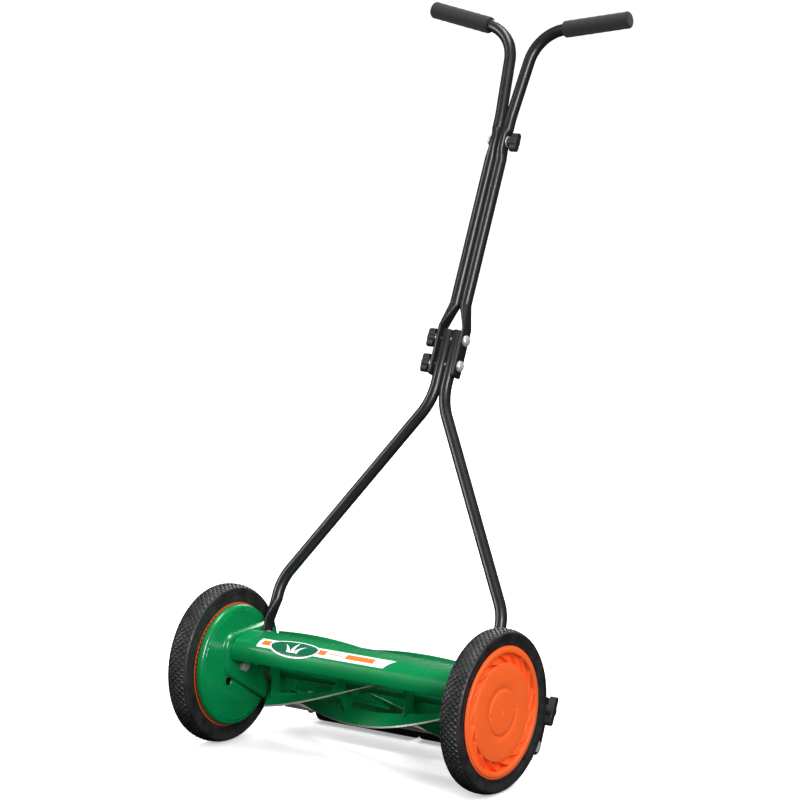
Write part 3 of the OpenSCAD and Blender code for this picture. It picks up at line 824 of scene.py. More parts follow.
@dataclass
class Wheel(Assembly):
    """Moulded wheel: flange, band of turbine vanes, face disc, boss and inner ring gear."""

    side: Side = Side.RIGHT
    rim_r: float = 102.0
    flange_r: float = 99.5
    band_out: float = 91.0
    band_in: float = 76.0
    cap_r: float = 36.1
    boss_r: float = 18.0
    vanes: int = 17
    first_vane_deg: float = 16.0
    sweep_deg: float = 17.5
    crest_mm: float = 2.0
    deep: float = 12.0
    shallow: float = 8.0
    gear_teeth: int = 75
    gear_module: float = 2.5
    pressure_deg: float = 25.0
    gear_play: float = 0.12
    gear_wide: float = 13.5
    reel_drop_deg: float = 16.0

    @property
    def face(self) -> float:
        """X of the flange's outer face."""
        return self.datum.wheel_out - 1.5

    @property
    def pitch_r(self) -> float:
        """Pitch radius of the inner gear."""
        return self.gear_teeth * self.gear_module / 2

    def columns(self) -> tuple[np.ndarray, np.ndarray]:
        """Sets the columns of the vanes out: a crest, a drop behind it and a ramp up to the next.

        Returns:
            Turn of each column in vane pitches, and its depth under the crests.
        """
        pitch_mm = 2 * math.pi * (self.band_out + self.band_in) / 2 / self.vanes
        crest, foot, last = self.crest_mm / pitch_mm, 0.06, 0.985
        steps = [(0.0, 0.45), (0.008, 0.12), (0.02, 0.0), (crest * 0.75, 0.0), (crest, 0.12)]
        steps += [(crest + 0.01, 0.5), (crest + 0.03, self.deep - 0.8), (crest + foot, self.deep)]
        for t in np.linspace(0.0, 1.0, 8)[1:]:
            depth = self.deep + (self.shallow - self.deep) * float(smooth_step(0.0, 1.0, np.array(t)))
            steps.append((crest + foot + t * (last - crest - foot), depth))
        turns = [k + t for k in range(self.vanes) for t, _ in steps]
        depths = [d for _ in range(self.vanes) for _, d in steps]
        return np.array(turns), np.array(depths)

    def rows(self) -> list[tuple[float, float, float]]:
        """Draws the whole section round, starting behind the cap.

        Returns:
            Rows of (r, x, share of the vane depth).
        """
        f, rim, boss = self.face, self.rim_r, self.boss_r
        low, high = self.band_in, self.band_out
        disc, floor, web, bore = f - 2.0, f - 1.5, f - 8.5, 6.5
        inner = self.datum.wheel_in + 1.5
        face_disc = [(self.cap_r, f - 4.5, 0), (self.cap_r, disc - 0.2, 0), (self.cap_r + 0.3, disc, 0)]
        face_disc += [(r, disc, 0) for r in (50.0, 64.0, low - 1.4)]
        vane_band = [(low - 0.6, disc - 0.15, 0), (low - 0.15, disc - 0.5, 0.05)]
        vane_band += [(low + 0.15, disc - 0.2, 0.9)]
        vane_band += [(r, floor, 1.0) for r in np.linspace(low + 0.6, high - 0.6, 9)]
        vane_band += [(high - 0.15, floor, 0.9), (high + 0.1, f - 0.8, 0.05)]
        flange = [(high + 0.35, f - 0.25, 0), (high + 0.9, f, 0), (self.flange_r - 1.0, f, 0)]
        flange += [(self.flange_r - 0.3, f - 0.25, 0), (self.flange_r, f - 0.9, 0)]
        flange += [(self.flange_r + 0.1, f - 1.7, 0)]
        drum = [(rim, f - 1.9, 0), (rim, f - 8, 0), (rim, inner + 0.6, 0), (rim - 0.5, inner, 0)]
        drum += [(rim - 3.0, inner, 0), (rim - 3.4, inner + 0.5, 0), (rim - 4.6, inner + 1.0, 0)]
        back = [(rim - 4.6, f - 15.0, 0), (70.0, f - 15.0, 0), (66.0, web, 0), (boss + 2, web, 0)]
        hub = [(boss, f - 10, 0), (boss, f - 48.6, 0), (bore, f - 49, 0), (bore, f - 9.3, 0)]
        hub += [(13.0, f - 9.3, 0), (13.0, f - 4.5, 0)]
        return face_disc + vane_band + flange + drum + back + hub

    def moulding(self) -> Shape:
        """Turns the section round the axle, with the swept vanes in its band.

        Returns:
            The wheel without its gear.
        """
        turns, depths = self.columns()
        grid = []
        for r, x, share in self.rows():
            inward = np.clip((self.band_out - r) / (self.band_out - self.band_in), 0.0, 1.0)
            angle = np.radians(self.first_vane_deg + turns * 360.0 / self.vanes + inward * self.sweep_deg)
            y = self.datum.axle[0] + r * np.sin(angle)
            z = self.datum.axle[1] + r * np.cos(angle)
            grid.append(np.stack([x - share * depths, y, z], axis=1))
        return lattice(np.array(grid), close_rows=True, close_cols=True)

    def space_half(self, r: float) -> float:
        """Measures one of the gear's spaces between two involute teeth.

        Args:
            r: Radius at which it is measured.

        Returns:
            Half the angle of the space, in radians.
        """
        pressure = math.radians(self.pressure_deg)
        flank = math.acos(min(1.0, self.pitch_r * math.cos(pressure) / r))
        even = math.pi / 2 / self.gear_teeth + self.gear_play / self.pitch_r
        return even + math.tan(pressure) - pressure - math.tan(flank) + flank

    def gear(self) -> Shape:
        """Draws the ring of inner teeth.

        Returns:
            The ring, sunk a little into the wheel's drum.
        """
        pitch = self.pitch_r
        radii = (pitch - 0.6 * self.gear_module, pitch, pitch + 1.2 * self.gear_module)
        halves = [self.space_half(r) for r in radii]
        flanks = [(-a, r) for a, r in zip(halves, radii)]
        flanks += [(a, r) for a, r in zip(halves[::-1], radii[::-1])]
        first = math.radians(-self.reel_drop_deg + 180.0 / self.gear_teeth)
        outline = []
        for i in range(self.gear_teeth):
            middle = first + i * 2 * math.pi / self.gear_teeth
            outline += [(r * math.cos(middle + a), r * math.sin(middle + a)) for a, r in flanks]
        teeth = np.array(outline)
        ring = np.array([unit(p) * (self.rim_r - 4.4) for p in teeth])
        near = self.datum.wheel_in + 2.5
        far = near + self.gear_wide
        loops = []
        for loop, x in ((teeth, near), (ring, near), (ring, far), (teeth, far)):
            loops.append(np.column_stack([np.full(len(loop), x), loop + np.array(self.datum.axle)]))
        return lattice(np.array(loops), close_rows=True, close_cols=True)

    def build(self) -> None:
        """Builds the wheel in place of its CAD moulding and dresses its cap and axle."""
        word = self.side.word
        shape = (self.moulding() + self.gear()).on(self.side)
        piece = shape.build(f"moulded_wheel_{word}", ORANGE, sharp_deg=55.0)
        self.place(piece, f"{word}_wheel", "orange_plastic", f"wheel_{word}")
        self.dress(ORANGE, f"hub_cap_{word}", edge_mm=0.35)
        self.dress(ZINC, f"wheel_axle_{word}", edge_mm=0.3)


# ---------------------------------------------------------------- side plates and cover


@dataclass
class SidePlate(Assembly):
    """Pressed steel plate: a dished gear guard with a raised pan and an arm for the roller."""

    side: Side = Side.RIGHT
    dish_r: float = 97.0
    dish_x: float = 223.5
    rim_round: float = 7.0
    sheet: float = 2.5
    wall_run: float = 5.0
    spacing: float = 5.0
    dish_rise: float = 3.5
    dish_flat_r: float = 40.0
    pan: tuple[Circle, ...] = ((-18, 158, 22), (-18, 136, 22), (115.5, 58.7, 20), (62.2, 153, 27))
    arm: tuple[Circle, ...] = ((129.5, 69.6, 20), (208.0, 75.0, 9))
    holes: tuple[Circle, ...] = ((-31, 107.7, 6.8), (74.5, 105.6, 15.9))
    wall_rings: tuple[float, ...] = (-2.5, -1.0, 0.3, 1.4, 2.4, 3.4, 4.4)

    def distance(self, points: np.ndarray, outline: np.ndarray) -> np.ndarray:
        """Measures points from a closed outline.

        Args:
            points: The (Y, Z) points.
            outline: The outline's corners.

        Returns:
            The distances, negative inside.
        """
        a, b = outline, np.roll(outline, -1, axis=0)
        edge = b - a
        rel = points[:, None, :] - a[None]
        length = np.maximum((edge**2).sum(1), 1e-12)
        t = np.clip((rel * edge).sum(2) / length, 0, 1)
        far = np.sqrt(((rel - t[..., None] * edge) ** 2).sum(2)).min(1)
        cross = (a[:, 1] > points[:, None, 1]) != (b[:, 1] > points[:, None, 1])
        slope = edge[:, 0] * rel[..., 1] / np.where(edge[:, 1] == 0, 1e-12, edge[:, 1]) + a[:, 0]
        inside = (cross & (points[:, None, 0] < slope)).sum(1) % 2 == 1
        return np.where(inside, -far, far)

    def height(self, points: np.ndarray) -> np.ndarray:
        """Lays the middle of the sheet over points.

        Args:
            points: The (Y, Z) points.

        Returns:
            X of the sheet there: low on the pan and the arm, high on the dish.
        """
        plate = self.datum.plate_in + self.sheet / 2
        r = np.hypot(points[:, 0] - self.datum.axle[0], points[:, 1] - self.datum.axle[1])
        rise = self.dish_rise * smooth_step(self.dish_flat_r, self.dish_r, np.minimum(r, self.dish_r))
        dish = self.dish_x + self.sheet / 2 + rise
        off = np.minimum(self.distance(points, belt(self.pan)), self.distance(points, belt(self.arm)))
        return plate + (dish - plate) * smooth_step(-0.5, self.wall_run, off)

    def sheet_shape(self) -> Shape:
        """Meshes the pressed sheet inside the dish's rim, with its pan, arm and holes.

        Returns:
            The middle of the sheet.
        """
        disc_r = self.dish_r - self.rim_round
        pan_edge = belt(self.pan, self.wall_run)
        borders = [ring_points(self.datum.axle, disc_r, 120), pan_edge, belt(self.arm)]
        rings = [belt(self.pan, grow) for grow in self.wall_rings]
        cuts = [ring_points(h[:2], h[2], 32) for h in self.holes]
        grid = np.arange(-130.0, 240.0, self.spacing)
        fill = np.stack(np.meshgrid(grid, grid + 100.0), axis=2).reshape(-1, 2)
        fill = fill[np.abs(self.distance(fill, pan_edge) + self.wall_run / 2) > self.wall_run]
        points, edges = [], []
        for loop in borders + rings + cuts:
            base = len(points)
            points += [Vector(p) for p in loop]
            edges += [(base + i, base + (i + 1) % len(loop)) for i in range(len(loop))]
        points += [Vector(p) for p in fill]
        verts, _, faces, *_ = delaunay_2d_cdt(points, edges, [], 0, 1e-4)
        flat = np.array([tuple(v) for v in verts])
        middles = np.array([flat[list(f)].mean(0) for f in faces])
        keep = np.zeros(len(faces), bool)
        for loop in borders:
            keep |= self.distance(middles, loop) < 0
        for loop in cuts:
            keep &= self.distance(middles, loop) > 0
        kept = [tuple(f) for f, k in zip(faces, keep) if k]
        used = sorted({i for f in kept for i in f})
        index = {old: new for new, old in enumerate(used)}
        flat = flat[used]
        pressed = np.column_stack([self.height(flat), flat])
        return Shape(pressed, [tuple(index[i] for i in f) for f in kept])

    def rim_shape(self) -> Shape:
        """Turns the dish's rounded rim and the lip that closes on the wheel.

        Returns:
            The middle of the sheet.
        """
        start, r_mid = self.dish_r - self.rim_round, self.dish_r - self.sheet / 2
        x_start = self.dish_x + self.dish_rise * 0.97 + self.sheet / 2
        rows = []
        for t in np.linspace(0, 90, 12):
            a = math.radians(t)
            rows.append((start + (r_mid - start) * math.sin(a), x_start + 6.5 * (1 - math.cos(a))))
        rows.append((r_mid, self.datum.wheel_in - 0.6))
        return turned(np.array(rows), self.datum.axle, 180)

    def build(self) -> None:
        """Builds the plate in place of its CAD solid."""
        word = self.side.word
        shape = self.sheet_shape().on(self.side)
        pressed = shape.build(f"pressed_plate_{word}", GREEN_PAINT, sharp_deg=60.0)
        thicken(pressed, self.sheet)
        self.place(pressed, "frame", "green_paint", f"side_plate_{word}")
        rim = self.rim_shape().on(self.side).build(f"guard_rim_{word}", GREEN_PAINT, sharp_deg=60.0)
        thicken(rim, self.sheet)
        self.place(rim, "frame", "green_paint")
        self.dress(GEAR_IRON, f"reel_bearing_{word}", edge_mm=0.3)


@dataclass
class Cover(Assembly):
    """Rolled sheet over the front of the reel, with its sticker."""

    top_c: Point2 = (14.0, 71.0)
    top_r: float = 110.0
    nose_r: float = 26.0
    rear_deg: float = -13.7
    tangent_deg: float = 14.478
    lip_deg: float = 105.0
    lip_r: float = 4.0
    sheet: float = 1.5
    top_rows: int = 19
    nose_rows: int = 34
    end_gap: float = 0.7
    flange_t: float = 1.5
    flange_foot: Point2 = (8.0, -9.0)

    @property
    def nose_c(self) -> np.ndarray:
        """Centre of the nose's curve."""
        return np.array(self.top_c) + (self.top_r - self.nose_r) * toward_front(self.tangent_deg)

    def surface(self, run: float, lift: float = 0.0) -> np.ndarray:
        """(Y, Z) on the cover's outer face.

        Args:
            run: Distance over the surface from where the nose begins, towards the front.
            lift: Height above the surface.

        Returns:
            The place.
        """
        if run < 0:
            a = self.tangent_deg + math.degrees(run / self.top_r)
            return np.array(self.top_c) + (self.top_r + lift) * toward_front(a)
        a = self.tangent_deg + math.degrees(run / self.nose_r)
        return self.nose_c + (self.nose_r + lift) * toward_front(a)

    def profile(self) -> np.ndarray:
        """Draws the middle line of the sheet.

        Returns:
            Its (Y, Z) points from the rear edge to the end of the rolled lip.
        """
        back = -math.radians(self.tangent_deg - self.rear_deg) * self.top_r
        front = math.radians(self.lip_deg - self.tangent_deg) * self.nose_r
        top = np.linspace(back, 0, self.top_rows + 1)[:-1]
        runs = np.concatenate([top, np.linspace(0, front, self.nose_rows)])
        rows = [self.surface(run, -self.sheet / 2) for run in runs]
        lip_c = self.nose_c + (self.nose_r - self.lip_r) * toward_front(self.lip_deg)
        for a in np.linspace(self.lip_deg + 12, self.lip_deg + 200, 14):
            rows.append(lip_c + (self.lip_r - self.sheet / 2) * toward_front(a))
        return np.array(rows)

    def build(self) -> None:
        """Builds the cover and its end flanges in place of the CAD solid."""
        rows = self.profile()
        end = self.datum.plate_in - self.end_gap
        across = np.linspace(-end, end, 41)
        y, z = rows[:, :1] + 0 * across, rows[:, 1:2] + 0 * across
        grid = np.stack([across + 0 * y, y, z], axis=2)
        piece = lattice(grid).build("rolled_cover", GREEN_PAINT, sharp_deg=60.0)
        thicken(piece, self.sheet)
        soften(piece, 0.3)
        self.place(piece, "frame", "green_paint", "top_cover")
        skin = rows[: self.top_rows + self.nose_rows]
        outline = np.concatenate([skin, [self.nose_c + np.array(self.flange_foot)]])
        for side in Side:
            flange = prism(outline, end - 0.1 - self.flange_t, end - 0.1).on(side)
            self.place(flange.build(f"cover_flange_{side.word}", GREEN_PAINT), "frame", "green_paint")
        self.dress(ZINC, "cover_bolts", edge_mm=0.3)
        Sticker(self.datum, self.nodes, cover=self).build()


@dataclass
class Sticker(Assembly):
    """Printed film on the cover: a striped band with an oval badge and no lettering."""

    cover: Cover = field(kw_only=True)
    band: tuple[float, float, float, float] = (-173.0, 75.0, -8.0, 13.7)
    badge: tuple[float, float, float, float] = (-104.3, 3.6, 46.5, 19.5)
    border: float = 2.6
    blocks: tuple[Point2, ...] = ((-166.4, -146.0), (-62.0, -43.5), (-6.0, 47.5))
    block_inset: float = 5.0
    bar_ends: Point2 = (-38.0, -12.0)
    bar_runs: Point2 = (-1.2, 3.2)
    bar_h: float = 2.2
    end_slant: float = 13.0
    film: float = 0.12
    # Each blade of grass: foot and lean along X, height in half badges.
    grass: tuple[Point3, ...] = ((-7.0, -12.0, 0.85), (0.0, 1.5, 1.25), (7.0, 13.0, 0.85))
    grass_half: float = 3.4

    def sheet(self, flat: np.ndarray, lift: float) -> np.ndarray:
        """Wraps a flat grid onto the cover.

        Args:
            flat: Grid of (x, run).
            lift: Height above the cover.

        Returns:
            The grid of points.
        """
        points = np.empty((*flat.shape[:2], 3))
        for i in range(flat.shape[0]):
            for j in range(flat.shape[1]):
                y, z = self.cover.surface(flat[i, j, 1], lift)
                points[i, j] = (flat[i, j, 0], y, z)
        return points

    def panel(self, box: tuple[float, float, float, float], slant: float, lift: float) -> Shape:
        """Cuts a film panel with a slanted right end.

        Args:
            box: (x0, x1, run0, run1).
            slant: How much further right the end's rear corner is than its front one.
            lift: Height above the cover.

        Returns:
            The panel.
        """
        x0, x1, r0, r1 = box
        u, v = np.meshgrid(np.linspace(0.0, 1.0, 24), np.linspace(r0, r1, 14))
        u = x0 + (x1 + slant * (0.5 - (v - r0) / (r1 - r0)) - x0) * u
        return lattice(self.sheet(np.stack([u, v], axis=2), lift))

    def oval(self, shrink: float, lift: float) -> Shape:
        """Cuts the oval badge.

        Args:
            shrink: Width of the border that it leaves.
            lift: Height above the cover.

        Returns:
            The oval.
        """
        x, run, half_x, half_run = self.badge
        turns = np.linspace(0, 2 * math.pi, 73)[:-1]
        rho, phi = np.meshgrid(np.linspace(0.02, 1, 10), turns, indexing="ij")
        u = x + (half_x - shrink) * rho * np.cos(phi)
        v = run + (half_run - shrink) * rho * np.sin(phi)
        return lattice(self.sheet(np.stack([u, v], axis=2), lift), close_cols=True)

    def tuft(self, lift: float) -> Shape:
        """Cuts the plain blades of grass inside the badge.

        Args:
            lift: Height above the cover.

        Returns:
            The blades.
        """
        x, run, _, half_run = self.badge
        t = np.linspace(0, 1, 16)
        half = self.grass_half * (1 - t) ** 0.7 + 0.1
        blades = []
        for foot, lean, tall in self.grass:
            mid = x + foot + lean * t**1.8
            rows = run + half_run * 0.55 - tall * half_run * t
            across = np.stack([mid - half, mid, mid + half], axis=1)
            flat = np.stack([across, np.stack([rows] * 3, axis=1)], axis=2)
            blades.append(lattice(self.sheet(flat, lift)))
        return blades[0] + blades[1] + blades[2]

    def build(self) -> None:
        """Builds the layers of film in place of the CAD strip."""
        _, _, r0, r1 = self.band
        shape = self.panel(self.band, self.end_slant, self.film).painted(0)
        for a, b in self.blocks:
            block = (a, b, r0 + self.block_inset, r1 - self.block_inset)
            shape = shape + self.panel(block, 0.0, self.film * 1.6).painted(1)
        for run in self.bar_runs:
            bar = (*self.bar_ends, run, run + self.bar_h)
            shape = shape + self.panel(bar, 0.0, self.film * 1.6).painted(1)
        shape = shape + self.oval(0.0, self.film * 2.2).painted(0)
        shape = shape + self.oval(self.border, self.film * 2.8).painted(2)
        shape = shape + self.tuft(self.film * 3.4).painted(0)
        piece = shape.build("cover_sticker", FILM_WHITE, FILM_ORANGE, FILM_GREEN, recalc=False)
        self.place(piece, "frame", "decal", "cover_decal")


# ---------------------------------------------------------------- reel and bed knife


@dataclass
class Reel(Assembly):
    """Five twisted blades on spiders and a shaft, with its pinions."""

    blades: int = 5
    tip_r: float = 64.98
    root_r: float = 39.0
    half_t: float = 1.1
    bevel: float = 2.4
    reach: float = 203.5
    phase_deg: float = 103.5
    twist_deg: float = 0.322

    def ring(self, index: int, x: float) -> list[Point3]:
        """Draws one blade's section.

        Args:
            index: Which blade, from 0.
            x: Where along the reel.

        Returns:
            Points round the section; its ground bevel lies between the third and the sixth.
        """
        a = math.radians(self.phase_deg + index * 360 / self.blades + self.twist_deg * x)
        out = np.array([-math.sin(a), -math.cos(a)])
        along = np.array([-math.cos(a), math.sin(a)])
        h, r0, r1 = self.half_t, self.root_r, self.tip_r
        section = [(r0, -h + 0.3), (r0 + 0.3, -h), (r1 - 0.25, -h), (r1, -h + 0.2)]
        section += [(r1, -h + 0.75), (r1 - self.bevel, h), (r0 + 0.3, h), (r0, h - 0.3)]
        centre = np.array(self.datum.reel)
        return [(x, *(centre + r * out + t * along)) for r, t in section]

    def blade(self, index: int) -> Shape:
        """Sweeps one blade along the reel, painted but for its ground edge.

        Args:
            index: Which blade, from 0.

        Returns:
            The closed shape.
        """
        rings = np.array([self.ring(index, x) for x in np.linspace(-self.reach, self.reach, 121)])
        body = lattice(rings, close_cols=True)
        cols = rings.shape[1]
        body.slots = [1 if i % cols in (2, 3, 4) else 0 for i in range(len(body.faces))]
        ends = [tuple(range(cols))[::-1], tuple(range(len(body.points) - cols, len(body.points)))]
        return Shape(body.points, body.faces + ends, body.slots + [0, 0])

    def build(self) -> None:
        """Builds the blades and dresses the rest of the reel."""
        for i in range(self.blades):
            shape = self.blade(i)
            piece = shape.build(f"twisted_blade_{i + 1}", GREEN_PAINT, GROUND_STEEL, sharp_deg=25.0)
            self.place(piece, "reel", "green_paint", f"reel_blade_{i + 1}")
        self.dress(GREEN_PAINT, "reel_shaft", *[f"spider_{k}" for k in range(1, 5)], edge_mm=0.3)
        self.dress(GEAR_IRON, "pinion_left", "pinion_right", edge_mm=0.15)
        self.dress(ZINC, "pawl_left", "pawl_right", "shaft_clips", edge_mm=0.15)


@dataclass
class CutterUnit(Assembly):
    """Cutter bar, bed knife and their screws."""

    def build(self) -> None:
        """Dresses the bar, knife and screws."""
        self.dress(GREEN_PAINT, "cutter_bar", edge_mm=0.6)
        self.dress(GROUND_STEEL, "bed_knife", edge_mm=0.2)
        self.dress(ZINC, "cutter_bar_bolts", "bed_knife_screws", "adjusting_screws", edge_mm=0.4)
        self.dress(ZINC, "axle_nuts", "handle_pivot_bolts", "height_bolts", edge_mm=0.4)


# ---------------------------------------------------------------- roller


@dataclass
class WingKnob:
    """A hub with a bar across it."""

    hub_r: float
    bar_half: float
    bar_r: float
    deep: float
    hub_deep: float

    def shape(self, direction: Point2, centre: Point2, x0: float) -> Shape:
        """The knob about an X axis.

        Args:
            direction: Unit (Y, Z) vector of the bar.
            centre: (Y, Z) of the axis.
            x0: X of its inner face.

        Returns:
            The shape, with hard edges to be softened.
        """
        arm = np.array(direction) * (self.bar_half - self.bar_r)
        ends = [(*(np.array(centre) + way * arm), self.bar_r) for way in (-1, 1)]
        bar = prism(belt(ends, 0, 8), x0 + self.hub_deep, x0 + self.deep)
        hub = prism(ring_points(centre, self.hub_r, 32), x0, x0 + self.deep - 0.8)
        return bar + hub


@dataclass
class RollerUnit(Assembly):
    """Split rear roller on its slotted brackets, with the height knobs."""

    lean_deg: float = 25.3
    reach: float = 58.6
    knob_seat: float = 2.8
    knob: WingKnob = field(default_factory=lambda: WingKnob(9.5, 23.5, 5.5, 14.0, 2.0))

    def build(self) -> None:
        """Builds the knobs and dresses the rollers and brackets."""
        a = math.radians(self.lean_deg)
        direction = np.array([math.sin(a), math.cos(a)])
        centre = np.array(self.datum.roller) + self.reach * direction
        for side in Side:
            word = side.word
            shape = self.knob.shape(direction, centre, self.datum.plate_in + self.knob_seat).on(side)
            piece = shape.build(f"wing_knob_{word}", BLACK_PLASTIC)
            soften(piece, 1.1, 3)
            self.place(piece, f"{word}_height_knob", "black_plastic", f"height_knob_{word}")
            self.dress(BLACK_PAINT, f"roller_bracket_{word}", edge_mm=0.4)
            self.dress(BLACK_PLASTIC, f"roller_{word}")
        self.dress(ZINC, "roller_axle", edge_mm=0.4)
        self.dress(BLACK_PLASTIC, "roller_spacers", edge_mm=0.4)


# ---------------------------------------------------------------- handle


@dataclass
class Handle(Assembly):
    """Two bent lower tubes, two upper tubes, foam grips and the joint hardware.

    Tubes are drawn in the plane of the handle: x across, s up along it from the pivot. A section is
    (half across, half deep, corner power), and a station is (x, s) followed by its section.
    """

    lean_deg: float = 24.3
    pivot: Point2 = (56.2, 165.0)
    tube_r: float = 9.5
    foot_x: float = 214.7
    low_x: float = 211.0
    mid_x: float = 9.6
    low_bend: float = 92.1
    high_bend: float = 414.7
    low_len: float = 532.0
    lap_x: float = 22.2
    pinch_x: float = 7.8
    foot_section: Section = (2.5, 12.4, 0.6)
    lap_section: Section = (3.0, 12.4, 0.6)
    pinch_section: Section = (7.6, 11.5, 0.8)
    lap_bolts: Point2 = (474.0, 516.0)
    top_bolt: float = 849.0
    washer_t: float = 1.6
    knob_gap: float = 0.3
    knob: WingKnob = field(default_factory=lambda: WingKnob(8.0, 15.5, 6.0, 17.0, 5.0))
    fork_deg: float = 5.2
    corner: Point2 = (22.9, 1034.0)
    grip_reach: float = 187.0
    grip_rise_deg: float = 10.8
    grip_len: float = 117.5
    grip_r: float = 13.75
    sides: int = 36

    def place_in_plane(self, points: np.ndarray) -> np.ndarray:
        """Leans points of the handle's plane back from the pivot.

        Args:
            points: Rows of (x, depth, s).

        Returns:
            The points in the mower's frame.
        """
        a = math.radians(self.lean_deg)
        x, d, s = points[:, 0], points[:, 1], points[:, 2]
        y = self.pivot[0] + d * math.cos(a) + s * math.sin(a)
        z = self.pivot[1] - d * math.sin(a) + s * math.cos(a)
        return np.stack([x, y, z], axis=1)

    def tube(self, stations: Sequence[Station]) -> Shape:
        """Sweeps a tube.

        Args:
            stations: Its stations, from one end to the other.

        Returns:
            The closed shape.
        """
        rows = np.array(stations)
        angle = np.arange(self.sides) * 2 * math.pi / self.sides
        rings = []
        for i, (x, s, across, deep, power) in enumerate(rows):
            run = unit(rows[min(i + 1, len(rows) - 1), :2] - rows[max(i - 1, 0), :2])
            u = across * np.sign(np.cos(angle)) * np.abs(np.cos(angle)) ** power
            v = deep * np.sign(np.sin(angle)) * np.abs(np.sin(angle)) ** power
            rings.append(np.stack([x + u * run[1], -v, s - u * run[0]], axis=1))
        body = lattice(np.array(rings), close_cols=True)
        last = len(body.points) - self.sides
        caps = [tuple(range(self.sides))[::-1], tuple(range(last, last + self.sides))]
        return Shape(self.place_in_plane(body.points), body.faces + caps)

    def round(self, point: Sequence[float]) -> Station:
        """A round station at (x, s)."""
        return (point[0], point[1], self.tube_r, self.tube_r, 1.0)

    def pressed(self, a: Station, b: Station, steps: int) -> list[Station]:
        """Eases from one station to another."""
        ease = [(1 - math.cos(math.pi * i / steps)) / 2 for i in range(steps + 1)]
        return [tuple(np.array(a) + (np.array(b) - np.array(a)) * t) for t in ease]

    def tip(self, station: Station, step: float) -> list[Station]:
        """Rounds a tube's end off.

        Args:
            station: Where the rounding starts.
            step: How far beyond it the tube ends.

        Returns:
            The stations of the rounding.
        """
        x, s, across, deep, power = station
        shrink = ((0.0, 1.0), (0.45, 0.96), (0.8, 0.84), (1.0, 0.62))
        return [(x, s + step * t, across * k, deep * k, power) for t, k in shrink]

    def lower_stations(self) -> list[Station]:
        """Sets out a lower tube.

        Returns:
            Stations from the pressed foot at the pivot to the top.
        """
        foot = self.foot_section
        start, end = np.array([self.low_x, 0]), np.array([self.mid_x, self.low_len])
        low, mid = np.array([self.low_x, self.low_bend]), np.array([self.mid_x, self.high_bend])
        path = self.tip((self.foot_x, -9.5, *foot), -3.5)[::-1] + [(self.foot_x, 8.0, *foot)]
        path += self.pressed((self.foot_x, 30, *foot), self.round((self.low_x, 62)), 12)
        path += [self.round(p) for p in fillet(start, low, mid, 80, 16)]
        path += [self.round(p) for p in fillet(low, mid, end, 100, 16)]
        return path + self.tip(self.round((self.mid_x, self.low_len - 1.5)), 1.5)[:3]

    def upper_stations(self) -> list[Station]:
        """Sets out an upper tube.

        Returns:
            Stations from the pressed lap over the lower tubes to inside the grip.
        """
        lap, pinch = self.lap_section, self.pinch_section
        foot, bolt, mid = self.low_len, self.top_bolt, self.mid_x
        corner, start = np.array(self.corner), np.array([mid, bolt])
        fork_drop = (self.corner[0] - mid) / math.tan(math.radians(self.fork_deg))
        fork = np.array([mid, self.corner[1] - fork_drop])
        path = self.tip((self.lap_x, foot - 73, *lap), -4.0)[::-1] + [(self.lap_x, foot - 60, *lap)]
        path += self.pressed((self.lap_x, foot + 4, *lap), self.round((mid, foot + 42)), 14)
        path += self.pressed(self.round((mid, bolt - 30)), (self.pinch_x, bolt - 14, *pinch), 8)
        path += self.pressed((self.pinch_x, bolt + 12, *pinch), self.round((mid, bolt + 21)), 8)
        path += [self.round(p) for p in fillet(start, fork, corner, 260, 8)]
        path += [self.round(p) for p in fillet(fork, corner, self.grip_end, 65, 26)]
        return path + [self.round(self.grip_end - 6.0 * self.grip_dir)]

    @property
    def grip_dir(self) -> np.ndarray:
        """Direction of the right grip, outwards, in the plane of the handle."""
        a = math.radians(self.grip_rise_deg)
        return np.array([math.cos(a), math.sin(a)])

    @property
    def grip_end(self) -> np.ndarray:
        """Outer end of the right grip."""
        rise = (self.grip_reach - self.corner[0]) * math.tan(math.radians(self.grip_rise_deg))
        return np.array([self.grip_reach, self.corner[1] + rise])

    def grip(self) -> Shape:
        """Moulds a foam sleeve with rounded ends, its bore open to the tube.

        Returns:
            The sleeve.
        """
        r, length, outer, inner = self.grip_r, self.grip_len, 4, 2
        rows = [(0.001, 0.0), (r * 0.55, 0.0)]
        for a in np.radians(np.linspace(8, 90, 10)):
            rows.append((r - outer + outer * math.sin(a), outer - outer * math.cos(a)))
        rows += [(r, t) for t in np.linspace(8, length - 6, 26)]
        for a in np.radians(np.linspace(0, 90, 8)):
            rows.append((r - inner + inner * math.cos(a), length - inner + inner * math.sin(a)))
        rows += [(self.tube_r + 0.4, length - 0.1), (self.tube_r + 0.1, length - 1.5)]
        angle = np.arange(48) * 2 * math.pi / 48
        along = -self.grip_dir
        cross = np.array([along[1], -along[0]])
        grid = []
        for radius, t in rows:
            squash = 1.0 + 0.012 * math.sin(t * 0.37) * (radius > r * 0.9)
            base = self.grip_end + along * t
            u, v = radius * squash * np.cos(angle), radius * squash * np.sin(angle)
            grid.append(np.stack([base[0] + u * cross[0], v, base[1] + u * cross[1]], axis=1))
        shape = lattice(np.array(grid), close_cols=True)
        return Shape(self.place_in_plane(shape.points), shape.faces)

    def joint_knob(self, side: Side, out: float, rise: float) -> Shape:
        """Puts a wing knob on a cross bolt, its bar along the tubes.

        Args:
            side: The side that it is on.
            out: X of its inner face.
            rise: How far up the handle its bolt is.

        Returns:
            The knob.
        """
        a = math.radians(self.lean_deg)
        along = (math.sin(a), math.cos(a))
        centre = np.array(self.pivot) + rise * np.array(along)
        return self.knob.shape(along, centre, out).on(side)

